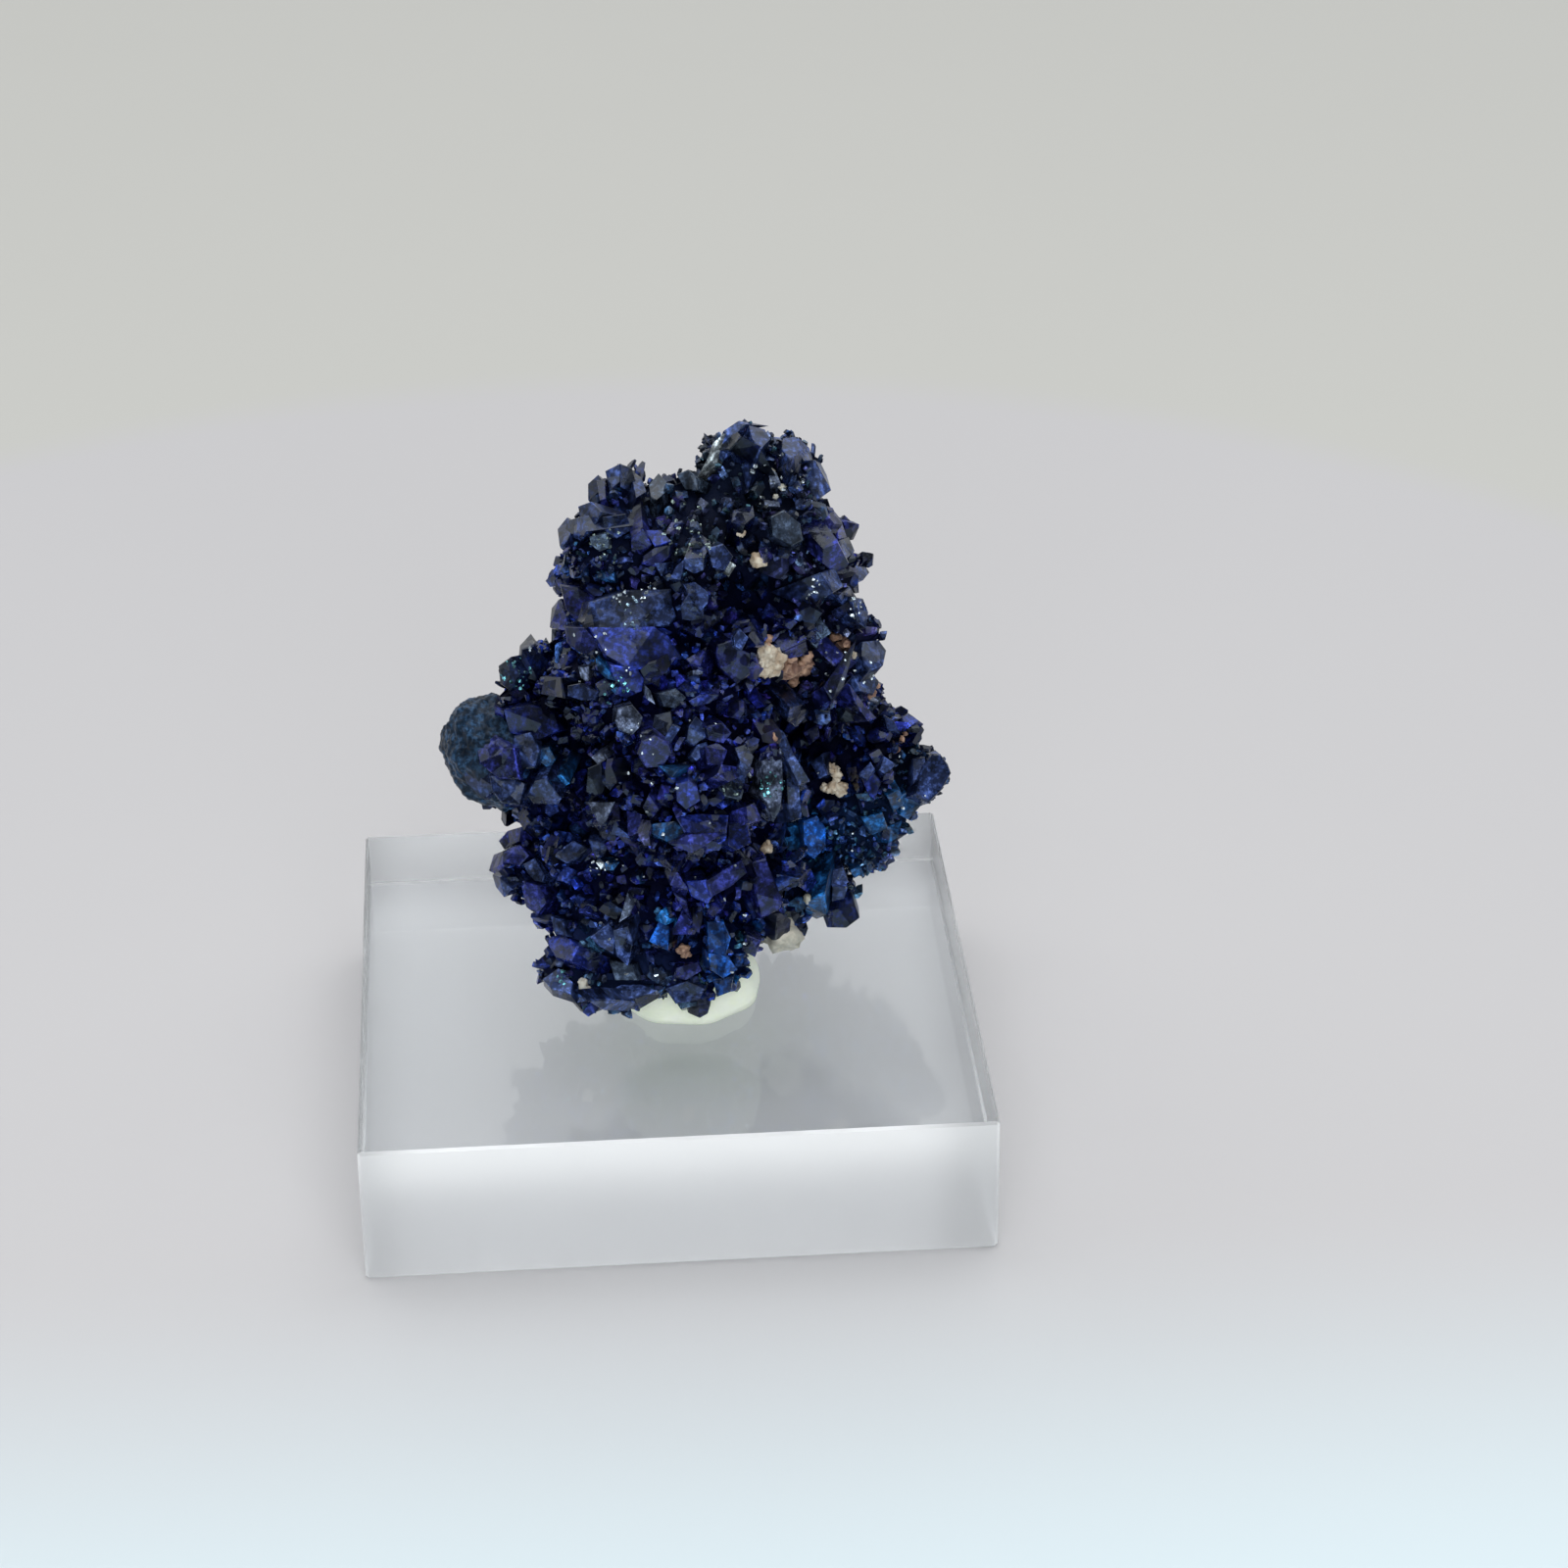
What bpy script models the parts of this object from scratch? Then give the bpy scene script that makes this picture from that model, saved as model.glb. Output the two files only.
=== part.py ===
"""An azurite crystal cluster, held by a dab of putty on a clear square display block.

The block stands on the ground plane with the middle of its underside at the origin, and its front
edge runs along X. The cluster is one grown stone: a lumpy core, and the crystals that are fused to it.
Sizes and places are in millimetres, and MM turns them into Blender's metres.
"""

import itertools
import math
import random
from dataclasses import dataclass

import bmesh
import bpy
import numpy as np
from mathutils import Matrix, Vector, noise

MM = 0.001
TOUCH_GAP = 0.3

BLOCK_SIDE = 31.75
BLOCK_HEIGHT = 7.5
BLOCK_EDGE_BEVEL = 0.4
BLOCK_EDGE_STEPS = 2

PUTTY_CENTRE = (1.3, -1.7)
PUTTY_RADIUS = 3.9
PUTTY_HEIGHT = 2.0
PUTTY_SIDES = 26
PUTTY_RINGS = 5
PUTTY_LUMP = 0.12
PUTTY_LUMP_FREQUENCY = 1.7
PUTTY_STEEPNESS = 2.2
MOULD_SWELL = 1.4 * TOUCH_GAP
MOULD_VOXEL = 0.3
MOULD_KEPT = 0.06

CORE_CRUST = 0.6
CORE_SUBDIVISIONS = 3
CORE_VOXEL = 0.5
CORE_TRIANGLES = 760
CORE_LUMP = 0.35
CORE_LUMP_SIZE = 2.4

BED_TRIES = 6000
BED_SEED = 7
BED_REACH = (0.7, 1.7)
BED_GRAIN_SPREAD = (0.85, 1.15)
BED_LONG = (1.3, 1.9)
BED_WIDE = (0.95, 1.3)
BED_DEEP = (0.65, 1.05)
BED_SLOPES = (30, 60)
BED_COARSER_BEHIND = 1.12
BEHIND = 0.3
BED_LOWEST = BLOCK_HEIGHT + TOUCH_GAP + 0.05
HOLLOW_RIM = 1.25
SHOWY_ROOM = 0.6

BEVELLED_SHARE = 0.45
BEVEL_REACH = (0.68, 0.9)
BEVEL_SWING = (-0.25, 0.25)
END_SLOPE_SWING = (-10, 10)
END_LEAN = (-0.1, 0.1)
BROWED_SHARE = 0.5
BROW_SLOPES = (30, 60)
BROW_LEAN = (-0.2, 0.2)
BROW_REACH = (0.95, 1.1)
FLAT_ANGLE = math.radians(1)

PLANE_TOLERANCE = 1e-6
MERGE_DISTANCE = 1e-6


@dataclass(frozen=True)
class Lobe:
    """A swelling of the stone: an ellipsoid that reaches the tips of its crystals.

    grain is the spacing of the crystals that bed in it, and turn leans it about the Y axis in degrees.
    """

    name: str
    centre: tuple
    radii: tuple
    turn: float = 0.0
    grain: float = 3.0


@dataclass(frozen=True)
class Crystal:
    """One crystal that shows by itself.

    centre is the middle of its broad face, which looks along faces, and it grows along grows. size is
    its length, width and depth, and slope is the steepness of its pointed ends in degrees.
    """

    name: str
    centre: tuple
    grows: tuple
    faces: tuple
    size: tuple
    slope: float = 45.0


LOBES = (
    Lobe("peak", (4.6, 3.2, 35.0), (2.1, 2.8, 2.6), 10, 1.6),
    Lobe("right crown", (6.6, 3.2, 33.9), (2.8, 3.6, 2.8), 11, 1.7),
    Lobe("left crown", (-1.3, 0.2, 32.2), (3.9, 3.2, 2.4), -3, 1.8),
    Lobe("saddle", (-0.5, 2.4, 31.5), (3.0, 4.0, 3.6), -17, 1.8),
    Lobe("upper body", (2.3, 1.4, 28.6), (7.9, 6.0, 6.7), -12, 1.95),
    Lobe("right flank", (7.7, 2.6, 29.0), (2.9, 4.0, 4.3), 3, 1.9),
    Lobe("right shoulder", (9.0, 2.4, 23.9), (2.9, 3.6, 4.1), 4, 1.9),
    Lobe("dark post", (-6.0, 0.6, 24.2), (2.3, 2.4, 1.9), 33, 2.2),
    Lobe("belly", (0.0, -2.2, 22.6), (6.3, 5.6, 7.5), -30, 2.0),
    Lobe("left root", (-4.3, 0.5, 20.0), (5.1, 3.6, 4.6), 2, 2.3),
    Lobe("left wing", (-7.7, -1.0, 21.6), (3.5, 2.8, 2.6), 8, 1.9),
    Lobe("left knee", (-6.5, -1.0, 14.8), (2.6, 2.8, 2.1), -5, 1.9),
    Lobe("keel", (0.1, -2.2, 13.8), (7.0, 4.8, 5.6), -8, 2.0),
    Lobe("foot", (0.2, -4.0, 10.6), (4.7, 3.2, 2.5), 2, 1.9),
    Lobe("toe", (-3.7, -3.8, 10.1), (3.2, 2.8, 2.1), 20, 1.9),
    Lobe("right wing", (9.3, 3.2, 16.9), (4.7, 3.8, 5.6), 9, 1.9),
    Lobe("wing hem", (11.0, 2.6, 13.8), (2.3, 2.6, 2.4), 20, 1.8),
    Lobe("right tip", (13.1, 3.2, 16.8), (2.1, 2.0, 1.4), -8, 1.9),
    Lobe("right skirt", (6.9, 2.4, 11.8), (3.6, 3.2, 3.2), -21, 1.9),
    Lobe("back", (2.2, 5.4, 20.6), (7.0, 4.2, 8.6), 0, 3.0),
    Lobe("back crown", (3.2, 5.2, 28.0), (6.0, 3.6, 4.6), 0, 2.8),
)

HOLLOWS = (
    Lobe("upper recess", (5.2, -3.8, 30.7), (3.5, 3.8, 2.0), -8),
    Lobe("left crevice", (-4.3, -5.4, 23.2), (1.7, 3.2, 3.6), -10),
    Lobe("low crevice", (-1.8, -8.4, 23.0), (2.4, 2.4, 1.0), 10),
)

SHOWY_CRYSTALS = (
    Crystal("big tablet", (-1.6, -4.6, 29.3), (1, -0.15, -0.25), (0.1, -0.75, 0.6), (6.0, 3.7, 2.6), 42),
    Crystal("grey upright", (1.9, -4.4, 31.0), (0.1, 0.3, 1), (-0.3, -1, 0.4), (3.2, 1.7, 1.8), 30),
    Crystal("pointed blade", (4.2, -4.8, 28.4), (-0.2, 0.2, 1), (-0.2, -1, 0.3), (3.8, 2.0, 1.5), 55),
    Crystal("peak blade", (3.4, 1.8, 35.9), (0.75, 0.1, 1), (-0.5, -0.8, 0.5), (5.0, 1.8, 1.8), 60),
    Crystal("low dark prism", (-6.3, -2.0, 24.4), (-0.9, -0.3, 0.45), (0, -1, 0.5), (4.6, 1.8, 1.8), 40),
    Crystal("mid dark prism", (-6.5, -1.0, 25.0), (-0.7, -0.1, 0.7), (-0.2, -0.8, 0.6), (4.4, 1.7, 1.8), 40),
    Crystal("top dark prism", (-5.4, -0.6, 25.4), (-0.4, 0.1, 0.9), (-0.1, -1, 0.5), (4.2, 1.7, 1.8), 40),
    Crystal("rosette", (-1.7, -7.2, 26.0), (0.2, 0.4, 1), (0, -0.9, 0.5), (1.7, 1.6, 1.4), 35),
    Crystal("pale blade", (5.4, -5.8, 21.6), (0.05, 0.1, 1), (0.4, -1, 0.2), (4.0, 1.2, 1.4), 60),
    Crystal("long blade", (6.5, -3.6, 21.2), (0.3, 0.1, -1), (0.5, -0.9, 0.3), (5.6, 1.3, 1.6), 60),
    Crystal("level blade", (1.7, -7.9, 20.6), (1, 0.05, 0.2), (0, -0.7, 0.7), (6.2, 1.7, 1.8), 55),
    Crystal("level sliver", (0.4, -7.7, 19.2), (1, 0.05, 0.1), (-0.2, -0.9, 0.5), (4.0, 1.3, 1.4), 60),
    Crystal("slab", (3.2, -6.4, 16.8), (0.8, 0.1, 0.5), (0, -0.9, 0.45), (3.4, 2.0, 1.6), 25),
    Crystal("lower slab", (1.1, -7.1, 15.8), (0.7, 0.1, 0.6), (-0.2, -0.9, 0.4), (2.8, 1.8, 1.6), 30),
    Crystal("wing rhomb", (11.0, -0.5, 18.9), (0.4, 0.2, 1), (0.1, -0.9, 0.4), (3.0, 2.4, 1.8), 45),
    Crystal("right point", (13.7, 1.6, 17.8), (1, 0, -0.35), (0.1, -0.8, 0.6), (3.2, 2.3, 2.0), 35),
    Crystal("down pyramid", (-3.2, -7.2, 21.4), (0, 0, -1), (0.1, -0.9, 0.4), (2.2, 1.5, 1.4), 60),
    Crystal("knee facet", (-4.9, -4.2, 17.2), (1, 0, -0.4), (-0.1, -0.8, 0.6), (3.4, 2.2, 1.8), 40),
    Crystal("knee front", (-7.3, -3.6, 15.4), (0.6, 0, -0.8), (-0.1, -0.9, 0.4), (3.0, 2.0, 1.8), 45),
    Crystal("flank spur", (9.6, 1.4, 30.4), (1, -0.2, 0.05), (0.1, -0.9, 0.5), (2.6, 1.3, 1.4), 50),
    Crystal("glinting cube", (9.8, -0.5, 28.3), (0.3, 0, 1), (0.4, -0.8, 0.5), (2.4, 2.0, 1.8), 25),
    Crystal("grey wedge", (2.4, -3.6, 33.0), (0.9, 0, 0.5), (-0.1, -0.9, 0.5), (2.8, 2.2, 1.8), 45),
    Crystal("grey block", (6.3, -2.0, 33.6), (0.9, 0, 0.1), (0.1, -0.9, 0.5), (2.8, 2.2, 2.0), 25),
    Crystal("left knob", (-1.3, 1.2, 34.4), (0.3, 0, 1), (0, -0.9, 0.5), (3.0, 2.5, 2.6), 40),
    Crystal("belly rhomb", (3.4, -7.2, 24.0), (0.7, 0.1, 0.6), (0.1, -0.8, 0.6), (3.0, 2.3, 1.8), 45),
    Crystal("belly block", (-0.5, -8.0, 24.8), (0.2, 0.2, 1), (-0.2, -0.9, 0.4), (2.9, 2.2, 1.8), 40),
    Crystal("under block", (1.1, -8.2, 22.8), (0.3, 0.1, 1), (0.1, -0.9, 0.3), (2.8, 2.2, 1.8), 35),
    Crystal("flank face", (8.9, -1.2, 31.2), (0.5, 0.2, 1), (0.4, -0.8, 0.5), (2.6, 2.0, 1.6), 40),
    Crystal("right facet", (8.0, -1.6, 24.1), (0.7, 0.1, 0.8), (0.1, -0.9, 0.5), (2.8, 2.2, 1.8), 45),
    Crystal("left wing rim", (-9.4, -2.9, 22.4), (-0.3, 0, 1), (-0.4, -0.8, 0.6), (4.2, 3.0, 2.6), 30),
    Crystal("wing plate", (-7.2, -4.2, 22.0), (0.9, 0, 0.3), (-0.1, -0.8, 0.6), (3.8, 2.8, 2.2), 35),
    Crystal("azure plate", (3.2, -7.0, 12.6), (0.2, 0.1, 1), (0.2, -0.9, 0.3), (3.6, 2.6, 2.0), 35),
    Crystal("toe plate", (-3.2, -6.6, 10.3), (1, 0, -0.1), (-0.1, -0.9, 0.4), (3.6, 2.2, 2.0), 35),
    Crystal("pebble", (5.6, -3.0, 12.2), (0.5, 0, 1), (0.1, -0.9, 0.3), (1.9, 1.6, 1.8), 35),
)


def clear_scene():
    """Takes every object out of the scene."""
    for obj in list(bpy.data.objects):
        bpy.data.objects.remove(obj, do_unlink=True)


def finish(name, colour, roughness, transmission=0.0, ior=1.5):
    """A Principled material in one plain colour."""
    made = bpy.data.materials.new(name)
    made.use_nodes = True
    shader = made.node_tree.nodes["Principled BSDF"]
    shader.inputs["Base Color"].default_value = (*colour, 1.0)
    shader.inputs["Roughness"].default_value = roughness
    shader.inputs["Metallic"].default_value = 0.0
    shader.inputs["Transmission Weight"].default_value = transmission
    shader.inputs["IOR"].default_value = ior
    return made


def add_object(name, mesh, material=None):
    """Puts a mesh in the scene as an object of that name."""
    obj = bpy.data.objects.new(name, mesh)
    bpy.context.scene.collection.objects.link(obj)
    if material:
        mesh.materials.append(material)
    return obj


def mesh_from(shape, name):
    """Turns a bmesh in millimetres into a mesh in metres, and frees it."""
    bmesh.ops.scale(shape, vec=(MM, MM, MM), verts=shape.verts)
    mesh = bpy.data.meshes.new(name)
    shape.to_mesh(mesh)
    shape.free()
    return mesh


def evaluated_mesh(obj):
    """A copy of the object's mesh with its modifiers applied."""
    graph = bpy.context.evaluated_depsgraph_get()
    return bpy.data.meshes.new_from_object(obj.evaluated_get(graph))


def lobe_shape(lobe, shrink):
    """An ellipsoid for the lobe, smaller by shrink all round, with the lumps of grown stone on it."""
    shape = bmesh.new()
    bmesh.ops.create_icosphere(shape, subdivisions=CORE_SUBDIVISIONS, radius=1.0)
    centre = Vector(lobe.centre)
    lean = Matrix.Rotation(math.radians(lobe.turn), 3, "Y")
    radii = Vector(radius - shrink for radius in lobe.radii)
    for vertex in shape.verts:
        outward = lean @ vertex.co
        place = centre + lean @ Vector(share * radius for share, radius in zip(vertex.co, radii))
        lump = noise.noise(place / CORE_LUMP_SIZE) * CORE_LUMP
        vertex.co = place + outward * lump
    return shape


def joined_mesh(shapes, name):
    """One mesh that holds all the shapes, which stay separate bodies in it."""
    whole = bmesh.new()
    for shape in shapes:
        part = mesh_from(shape, name)
        whole.from_mesh(part)
        bpy.data.meshes.remove(part)
    mesh = bpy.data.meshes.new(name)
    whole.to_mesh(mesh)
    whole.free()
    return mesh


def helper(name, mesh):
    """An object that only shapes another, and isn't part of the model."""
    obj = add_object(name, mesh)
    obj.hide_render = True
    obj.display_type = "WIRE"
    return obj


def core_object():
    """The lumpy stone under the crystals, with its hollows carved out, in broad flat facets."""
    core = add_object("core", joined_mesh([lobe_shape(lobe, CORE_CRUST) for lobe in LOBES], "core"))
    fuse = core.modifiers.new("fuse lobes", "REMESH")
    fuse.mode = "VOXEL"
    fuse.voxel_size = CORE_VOXEL * MM
    for hollow in HOLLOWS:
        cutter = helper(hollow.name, mesh_from(lobe_shape(hollow, 0.0), hollow.name))
        carve = core.modifiers.new(hollow.name, "BOOLEAN")
        carve.operation = "DIFFERENCE"
        carve.object = cutter
    mesh = evaluated_mesh(core)
    core.modifiers.clear()
    core.data = mesh
    facet = core.modifiers.new("facets", "DECIMATE")
    facet.ratio = CORE_TRIANGLES / sum(len(polygon.vertices) - 2 for polygon in mesh.polygons)
    core.data = evaluated_mesh(core)
    core.modifiers.clear()
    return core


def corners_inside(planes):
    """The corners of the solid that lies behind every plane, each given as a normal and a distance."""
    normals = np.array([normal for normal, _ in planes])
    distances = np.array([distance for _, distance in planes])
    triples = np.array(list(itertools.combinations(range(len(planes)), 3)))
    systems = normals[triples]
    solvable = np.abs(np.linalg.det(systems)) > PLANE_TOLERANCE
    points = np.linalg.solve(systems[solvable], distances[triples[solvable]][..., None])[..., 0]
    inside = (points @ normals.T <= distances + PLANE_TOLERANCE).all(axis=1)
    return np.unique(points[inside].round(5), axis=0)


def crystal_planes(size, slope, rng):
    """The faces of an azurite crystal that grows along Z, and shows its broad face along Y.

    Each face has a twin on the other side, as in every crystal with a centre of symmetry.
    """
    length, width, depth = (extent / 2 for extent in size)
    planes = [((1.0, 0.0, 0.0), width), ((0.0, 1.0, 0.0), depth)]
    if rng.random() < BEVELLED_SHARE:
        corner = math.atan2(depth, width) + rng.uniform(*BEVEL_SWING)
        bevel = (math.sin(corner), rng.choice((1, -1)) * math.cos(corner), 0.0)
        planes.append((bevel, (bevel[0] * width + abs(bevel[1]) * depth) * rng.uniform(*BEVEL_REACH)))
    for sign in (1, -1):
        tilt = math.radians(slope + rng.uniform(*END_SLOPE_SWING))
        normal = (sign * math.sin(tilt), rng.uniform(*END_LEAN), math.cos(tilt))
        planes.append((normal, normal[2] * length))
    if rng.random() < BROWED_SHARE:
        tilt = math.radians(rng.uniform(*BROW_SLOPES))
        brow = (rng.uniform(*BROW_LEAN), rng.choice((1, -1)) * math.sin(tilt), math.cos(tilt))
        planes.append((brow, brow[2] * length * rng.uniform(*BROW_REACH)))
    return planes + [(tuple(-part for part in normal), distance) for normal, distance in planes]


def crystal_shape(size, slope, grows, faces, rng):
    """A crystal about the origin, with its length along grows and its broad face towards faces."""
    shape = bmesh.new()
    for corner in corners_inside(crystal_planes(size, slope, rng)):
        shape.verts.new(corner)
    bmesh.ops.convex_hull(shape, input=shape.verts)
    bmesh.ops.dissolve_limit(shape, angle_limit=FLAT_ANGLE, verts=shape.verts, edges=shape.edges)
    along = Vector(grows).normalized()
    across = Vector(faces).cross(along).normalized()
    axes = Matrix((across, along.cross(across), along)).transposed()
    bmesh.ops.transform(shape, matrix=axes.to_4x4(), verts=shape.verts)
    return shape


def showy_shapes():
    """The crystals that show by themselves, each sunk from the middle of its broad face."""
    shapes = []
    for number, crystal in enumerate(SHOWY_CRYSTALS):
        rng = random.Random(number)
        shape = crystal_shape(crystal.size, crystal.slope, crystal.grows, crystal.faces, rng)
        middle = Vector(crystal.centre) - Vector(crystal.faces).normalized() * crystal.size[2] / 2
        bmesh.ops.translate(shape, vec=middle, verts=shape.verts)
        shapes.append(shape)
    return shapes


def share_of(lobe, point):
    """How far out the point is from the lobe's centre, as a share of the lobe's radii."""
    offset = Matrix.Rotation(math.radians(-lobe.turn), 3, "Y") @ (point - Vector(lobe.centre))
    return Vector([gap / radius for gap, radius in zip(offset, lobe.radii)]).length


def grain_at(point):
    """The spacing of the crystals on the lobe that the point belongs to."""
    return min(LOBES, key=lambda lobe: share_of(lobe, point)).grain


def surface_points(core, count, rng):
    """Seeded random points on the core, evenly spread by area, as (point, normal) in millimetres."""
    mesh = core.data
    mesh.calc_loop_triangles()
    triangles = mesh.loop_triangles
    picks = rng.choices(range(len(triangles)), weights=[triangle.area for triangle in triangles], k=count)
    for index in picks:
        triangle = triangles[index]
        first, second, third = (mesh.vertices[i].co / MM for i in triangle.vertices)
        across, along = sorted((rng.random(), rng.random()))
        yield first * across + second * (along - across) + third * (1 - along), triangle.normal.copy()


def any_direction(rng):
    """A unit vector with no preferred direction."""
    return Vector([rng.gauss(0, 1) for _ in range(3)]).normalized()


def bed_shapes(core):
    """Crystals bedded all over the core, no two too close, none near the middle of a showy crystal."""
    rng = random.Random(BED_SEED)
    taken = [(Vector(crystal.centre), crystal.size[1] * SHOWY_ROOM) for crystal in SHOWY_CRYSTALS]
    shapes = []
    for point, normal in surface_points(core, BED_TRIES, rng):
        if any(share_of(hollow, point) < HOLLOW_RIM for hollow in HOLLOWS):
            continue
        coarser = BED_COARSER_BEHIND if normal.y > BEHIND else 1.0
        grain = grain_at(point) * coarser * rng.uniform(*BED_GRAIN_SPREAD)
        if any((point - other).length < grain / 2 + room for other, room in taken):
            continue
        size = [grain * rng.uniform(*share) for share in (BED_LONG, BED_WIDE, BED_DEEP)]
        shape = crystal_shape(size, rng.uniform(*BED_SLOPES), any_direction(rng), any_direction(rng), rng)
        reach = max(vertex.co.dot(normal) for vertex in shape.verts)
        stand = CORE_CRUST * rng.uniform(*BED_REACH) - reach
        bmesh.ops.translate(shape, vec=point + normal * stand, verts=shape.verts)
        if min(vertex.co.z for vertex in shape.verts) < BED_LOWEST:
            shape.free()
            continue
        taken.append((point, grain / 2))
        shapes.append(shape)
    return shapes


def largest_shell(mesh):
    """Keeps the outer skin of a mesh, and drops the small pockets that crystals close between them."""
    shape = bmesh.new()
    shape.from_mesh(mesh)
    unseen = set(shape.verts)
    shells = []
    while unseen:
        front = [unseen.pop()]
        shell = set(front)
        while front:
            vertex = front.pop()
            for edge in vertex.link_edges:
                other = edge.other_vert(vertex)
                if other in unseen:
                    unseen.discard(other)
                    shell.add(other)
                    front.append(other)
        shells.append(shell)
    outer = max(shells, key=len)
    bmesh.ops.delete(shape, geom=[v for v in shape.verts if v not in outer], context="VERTS")
    bmesh.ops.remove_doubles(shape, verts=shape.verts, dist=MERGE_DISTANCE)
    bmesh.ops.dissolve_degenerate(shape, edges=shape.edges, dist=MERGE_DISTANCE)
    bmesh.ops.triangulate(shape, faces=shape.faces)
    shape.to_mesh(mesh)
    shape.free()


def make_cluster(material):
    """The azurite: the core and every crystal on it, fused into one solid."""
    core = core_object()
    crystals = bpy.data.collections.new("crystals to fuse")
    bpy.context.scene.collection.children.link(crystals)
    for number, shape in enumerate(showy_shapes() + bed_shapes(core)):
        grown = bpy.data.objects.new(f"crystal {number}", mesh_from(shape, "crystal"))
        crystals.objects.link(grown)
    fuse = core.modifiers.new("fuse crystals", "BOOLEAN")
    fuse.operation = "UNION"
    fuse.operand_type = "COLLECTION"
    fuse.collection = crystals
    mesh = evaluated_mesh(core)
    largest_shell(mesh)
    for obj in [core, *crystals.objects]:
        bpy.data.objects.remove(obj, do_unlink=True)
    bpy.data.collections.remove(crystals)
    mesh.materials.clear()
    return add_object("azurite_cluster", mesh, material)


def make_block(material):
    """The clear block, with its edges polished to a small round."""
    shape = bmesh.new()
    bmesh.ops.create_cube(shape, size=1.0)
    bmesh.ops.scale(shape, vec=(BLOCK_SIDE, BLOCK_SIDE, BLOCK_HEIGHT), verts=shape.verts)
    bmesh.ops.translate(shape, vec=(0, 0, BLOCK_HEIGHT / 2), verts=shape.verts)
    block = add_object("display_block", mesh_from(shape, "display block"), material)
    polish = block.modifiers.new("polished edges", "BEVEL")
    polish.width = BLOCK_EDGE_BEVEL * MM
    polish.segments = BLOCK_EDGE_STEPS
    return block


def putty_mould(cluster):
    """A solid in the shape of the cluster's underside with the touch gap all round it."""
    mould = helper("putty mould", cluster.data.copy())
    swell = mould.modifiers.new("touch gap", "DISPLACE")
    swell.mid_level = 0.0
    swell.strength = MOULD_SWELL * MM
    smooth = mould.modifiers.new("one skin", "REMESH")
    smooth.mode = "VOXEL"
    smooth.voxel_size = MOULD_VOXEL * MM
    thin = mould.modifiers.new("broad facets", "DECIMATE")
    thin.ratio = MOULD_KEPT
    return mould


def make_putty(material, cluster):
    """The dab of putty between the block and the foot of the cluster, pressed to the foot's shape."""
    shape = bmesh.new()
    bmesh.ops.create_uvsphere(shape, u_segments=PUTTY_SIDES, v_segments=2 * PUTTY_RINGS, radius=1.0)
    bmesh.ops.delete(shape, geom=[v for v in shape.verts if v.co.z < -MERGE_DISTANCE], context="VERTS")
    bmesh.ops.holes_fill(shape, edges=shape.edges)
    for vertex in shape.verts:
        swelling = 1 + PUTTY_LUMP * noise.noise(vertex.co * PUTTY_LUMP_FREQUENCY)
        height = PUTTY_HEIGHT * (1 - (1 - vertex.co.z) ** PUTTY_STEEPNESS)
        spread = PUTTY_RADIUS * swelling
        vertex.co = (
            PUTTY_CENTRE[0] + vertex.co.x * spread,
            PUTTY_CENTRE[1] + vertex.co.y * spread,
            BLOCK_HEIGHT + TOUCH_GAP + height,
        )
    bmesh.ops.recalc_face_normals(shape, faces=shape.faces)
    putty = add_object("putty_dab", mesh_from(shape, "putty dab"), material)
    press = putty.modifiers.new("pressed by the foot", "BOOLEAN")
    press.operation = "DIFFERENCE"
    press.object = putty_mould(cluster)
    return putty


def main():
    """Builds the three pieces of the object."""
    clear_scene()
    cluster = make_cluster(finish("azurite", (0.012, 0.022, 0.16), 0.3, ior=1.76))
    make_block(finish("clear_acrylic", (0.97, 0.98, 0.98), 0.02, transmission=1.0, ior=1.49))
    make_putty(finish("mineral_putty", (0.72, 0.78, 0.66), 0.5), cluster)


main()
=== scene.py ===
"""The look of an azurite crystal cluster that a dab of putty holds on a clear square block.

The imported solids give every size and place. This script covers the cluster in its fine crystals, gives
each piece its finish, and sets the plain pale turntable, the soft light and the camera round them.
Lengths in the data classes are millimetres, and MM turns them into metres.
"""

import itertools
import logging
import math
from dataclasses import dataclass
from enum import Enum

import bmesh
import bpy
import numpy as np
from mathutils import Matrix, Vector, kdtree, noise
from mathutils.bvhtree import BVHTree


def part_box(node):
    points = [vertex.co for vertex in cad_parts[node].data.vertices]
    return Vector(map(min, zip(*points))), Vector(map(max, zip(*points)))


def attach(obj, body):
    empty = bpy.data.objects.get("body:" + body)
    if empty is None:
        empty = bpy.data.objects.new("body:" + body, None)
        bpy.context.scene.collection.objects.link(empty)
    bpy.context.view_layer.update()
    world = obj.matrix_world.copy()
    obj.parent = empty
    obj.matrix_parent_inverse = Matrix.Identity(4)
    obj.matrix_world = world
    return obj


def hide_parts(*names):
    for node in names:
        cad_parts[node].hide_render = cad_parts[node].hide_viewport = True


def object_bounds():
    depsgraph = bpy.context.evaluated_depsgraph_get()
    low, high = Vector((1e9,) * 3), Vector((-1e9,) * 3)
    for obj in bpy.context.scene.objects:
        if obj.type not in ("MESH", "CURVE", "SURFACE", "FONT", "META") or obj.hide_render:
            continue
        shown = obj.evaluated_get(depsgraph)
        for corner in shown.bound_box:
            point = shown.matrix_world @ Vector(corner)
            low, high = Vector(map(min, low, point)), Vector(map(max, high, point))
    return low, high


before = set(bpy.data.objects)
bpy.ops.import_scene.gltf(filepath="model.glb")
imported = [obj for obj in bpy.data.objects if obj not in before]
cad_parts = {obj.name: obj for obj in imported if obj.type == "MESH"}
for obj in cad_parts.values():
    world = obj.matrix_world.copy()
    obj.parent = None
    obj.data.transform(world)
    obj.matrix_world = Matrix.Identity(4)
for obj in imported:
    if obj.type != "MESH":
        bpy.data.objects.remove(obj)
CAD_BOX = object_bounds()

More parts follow.
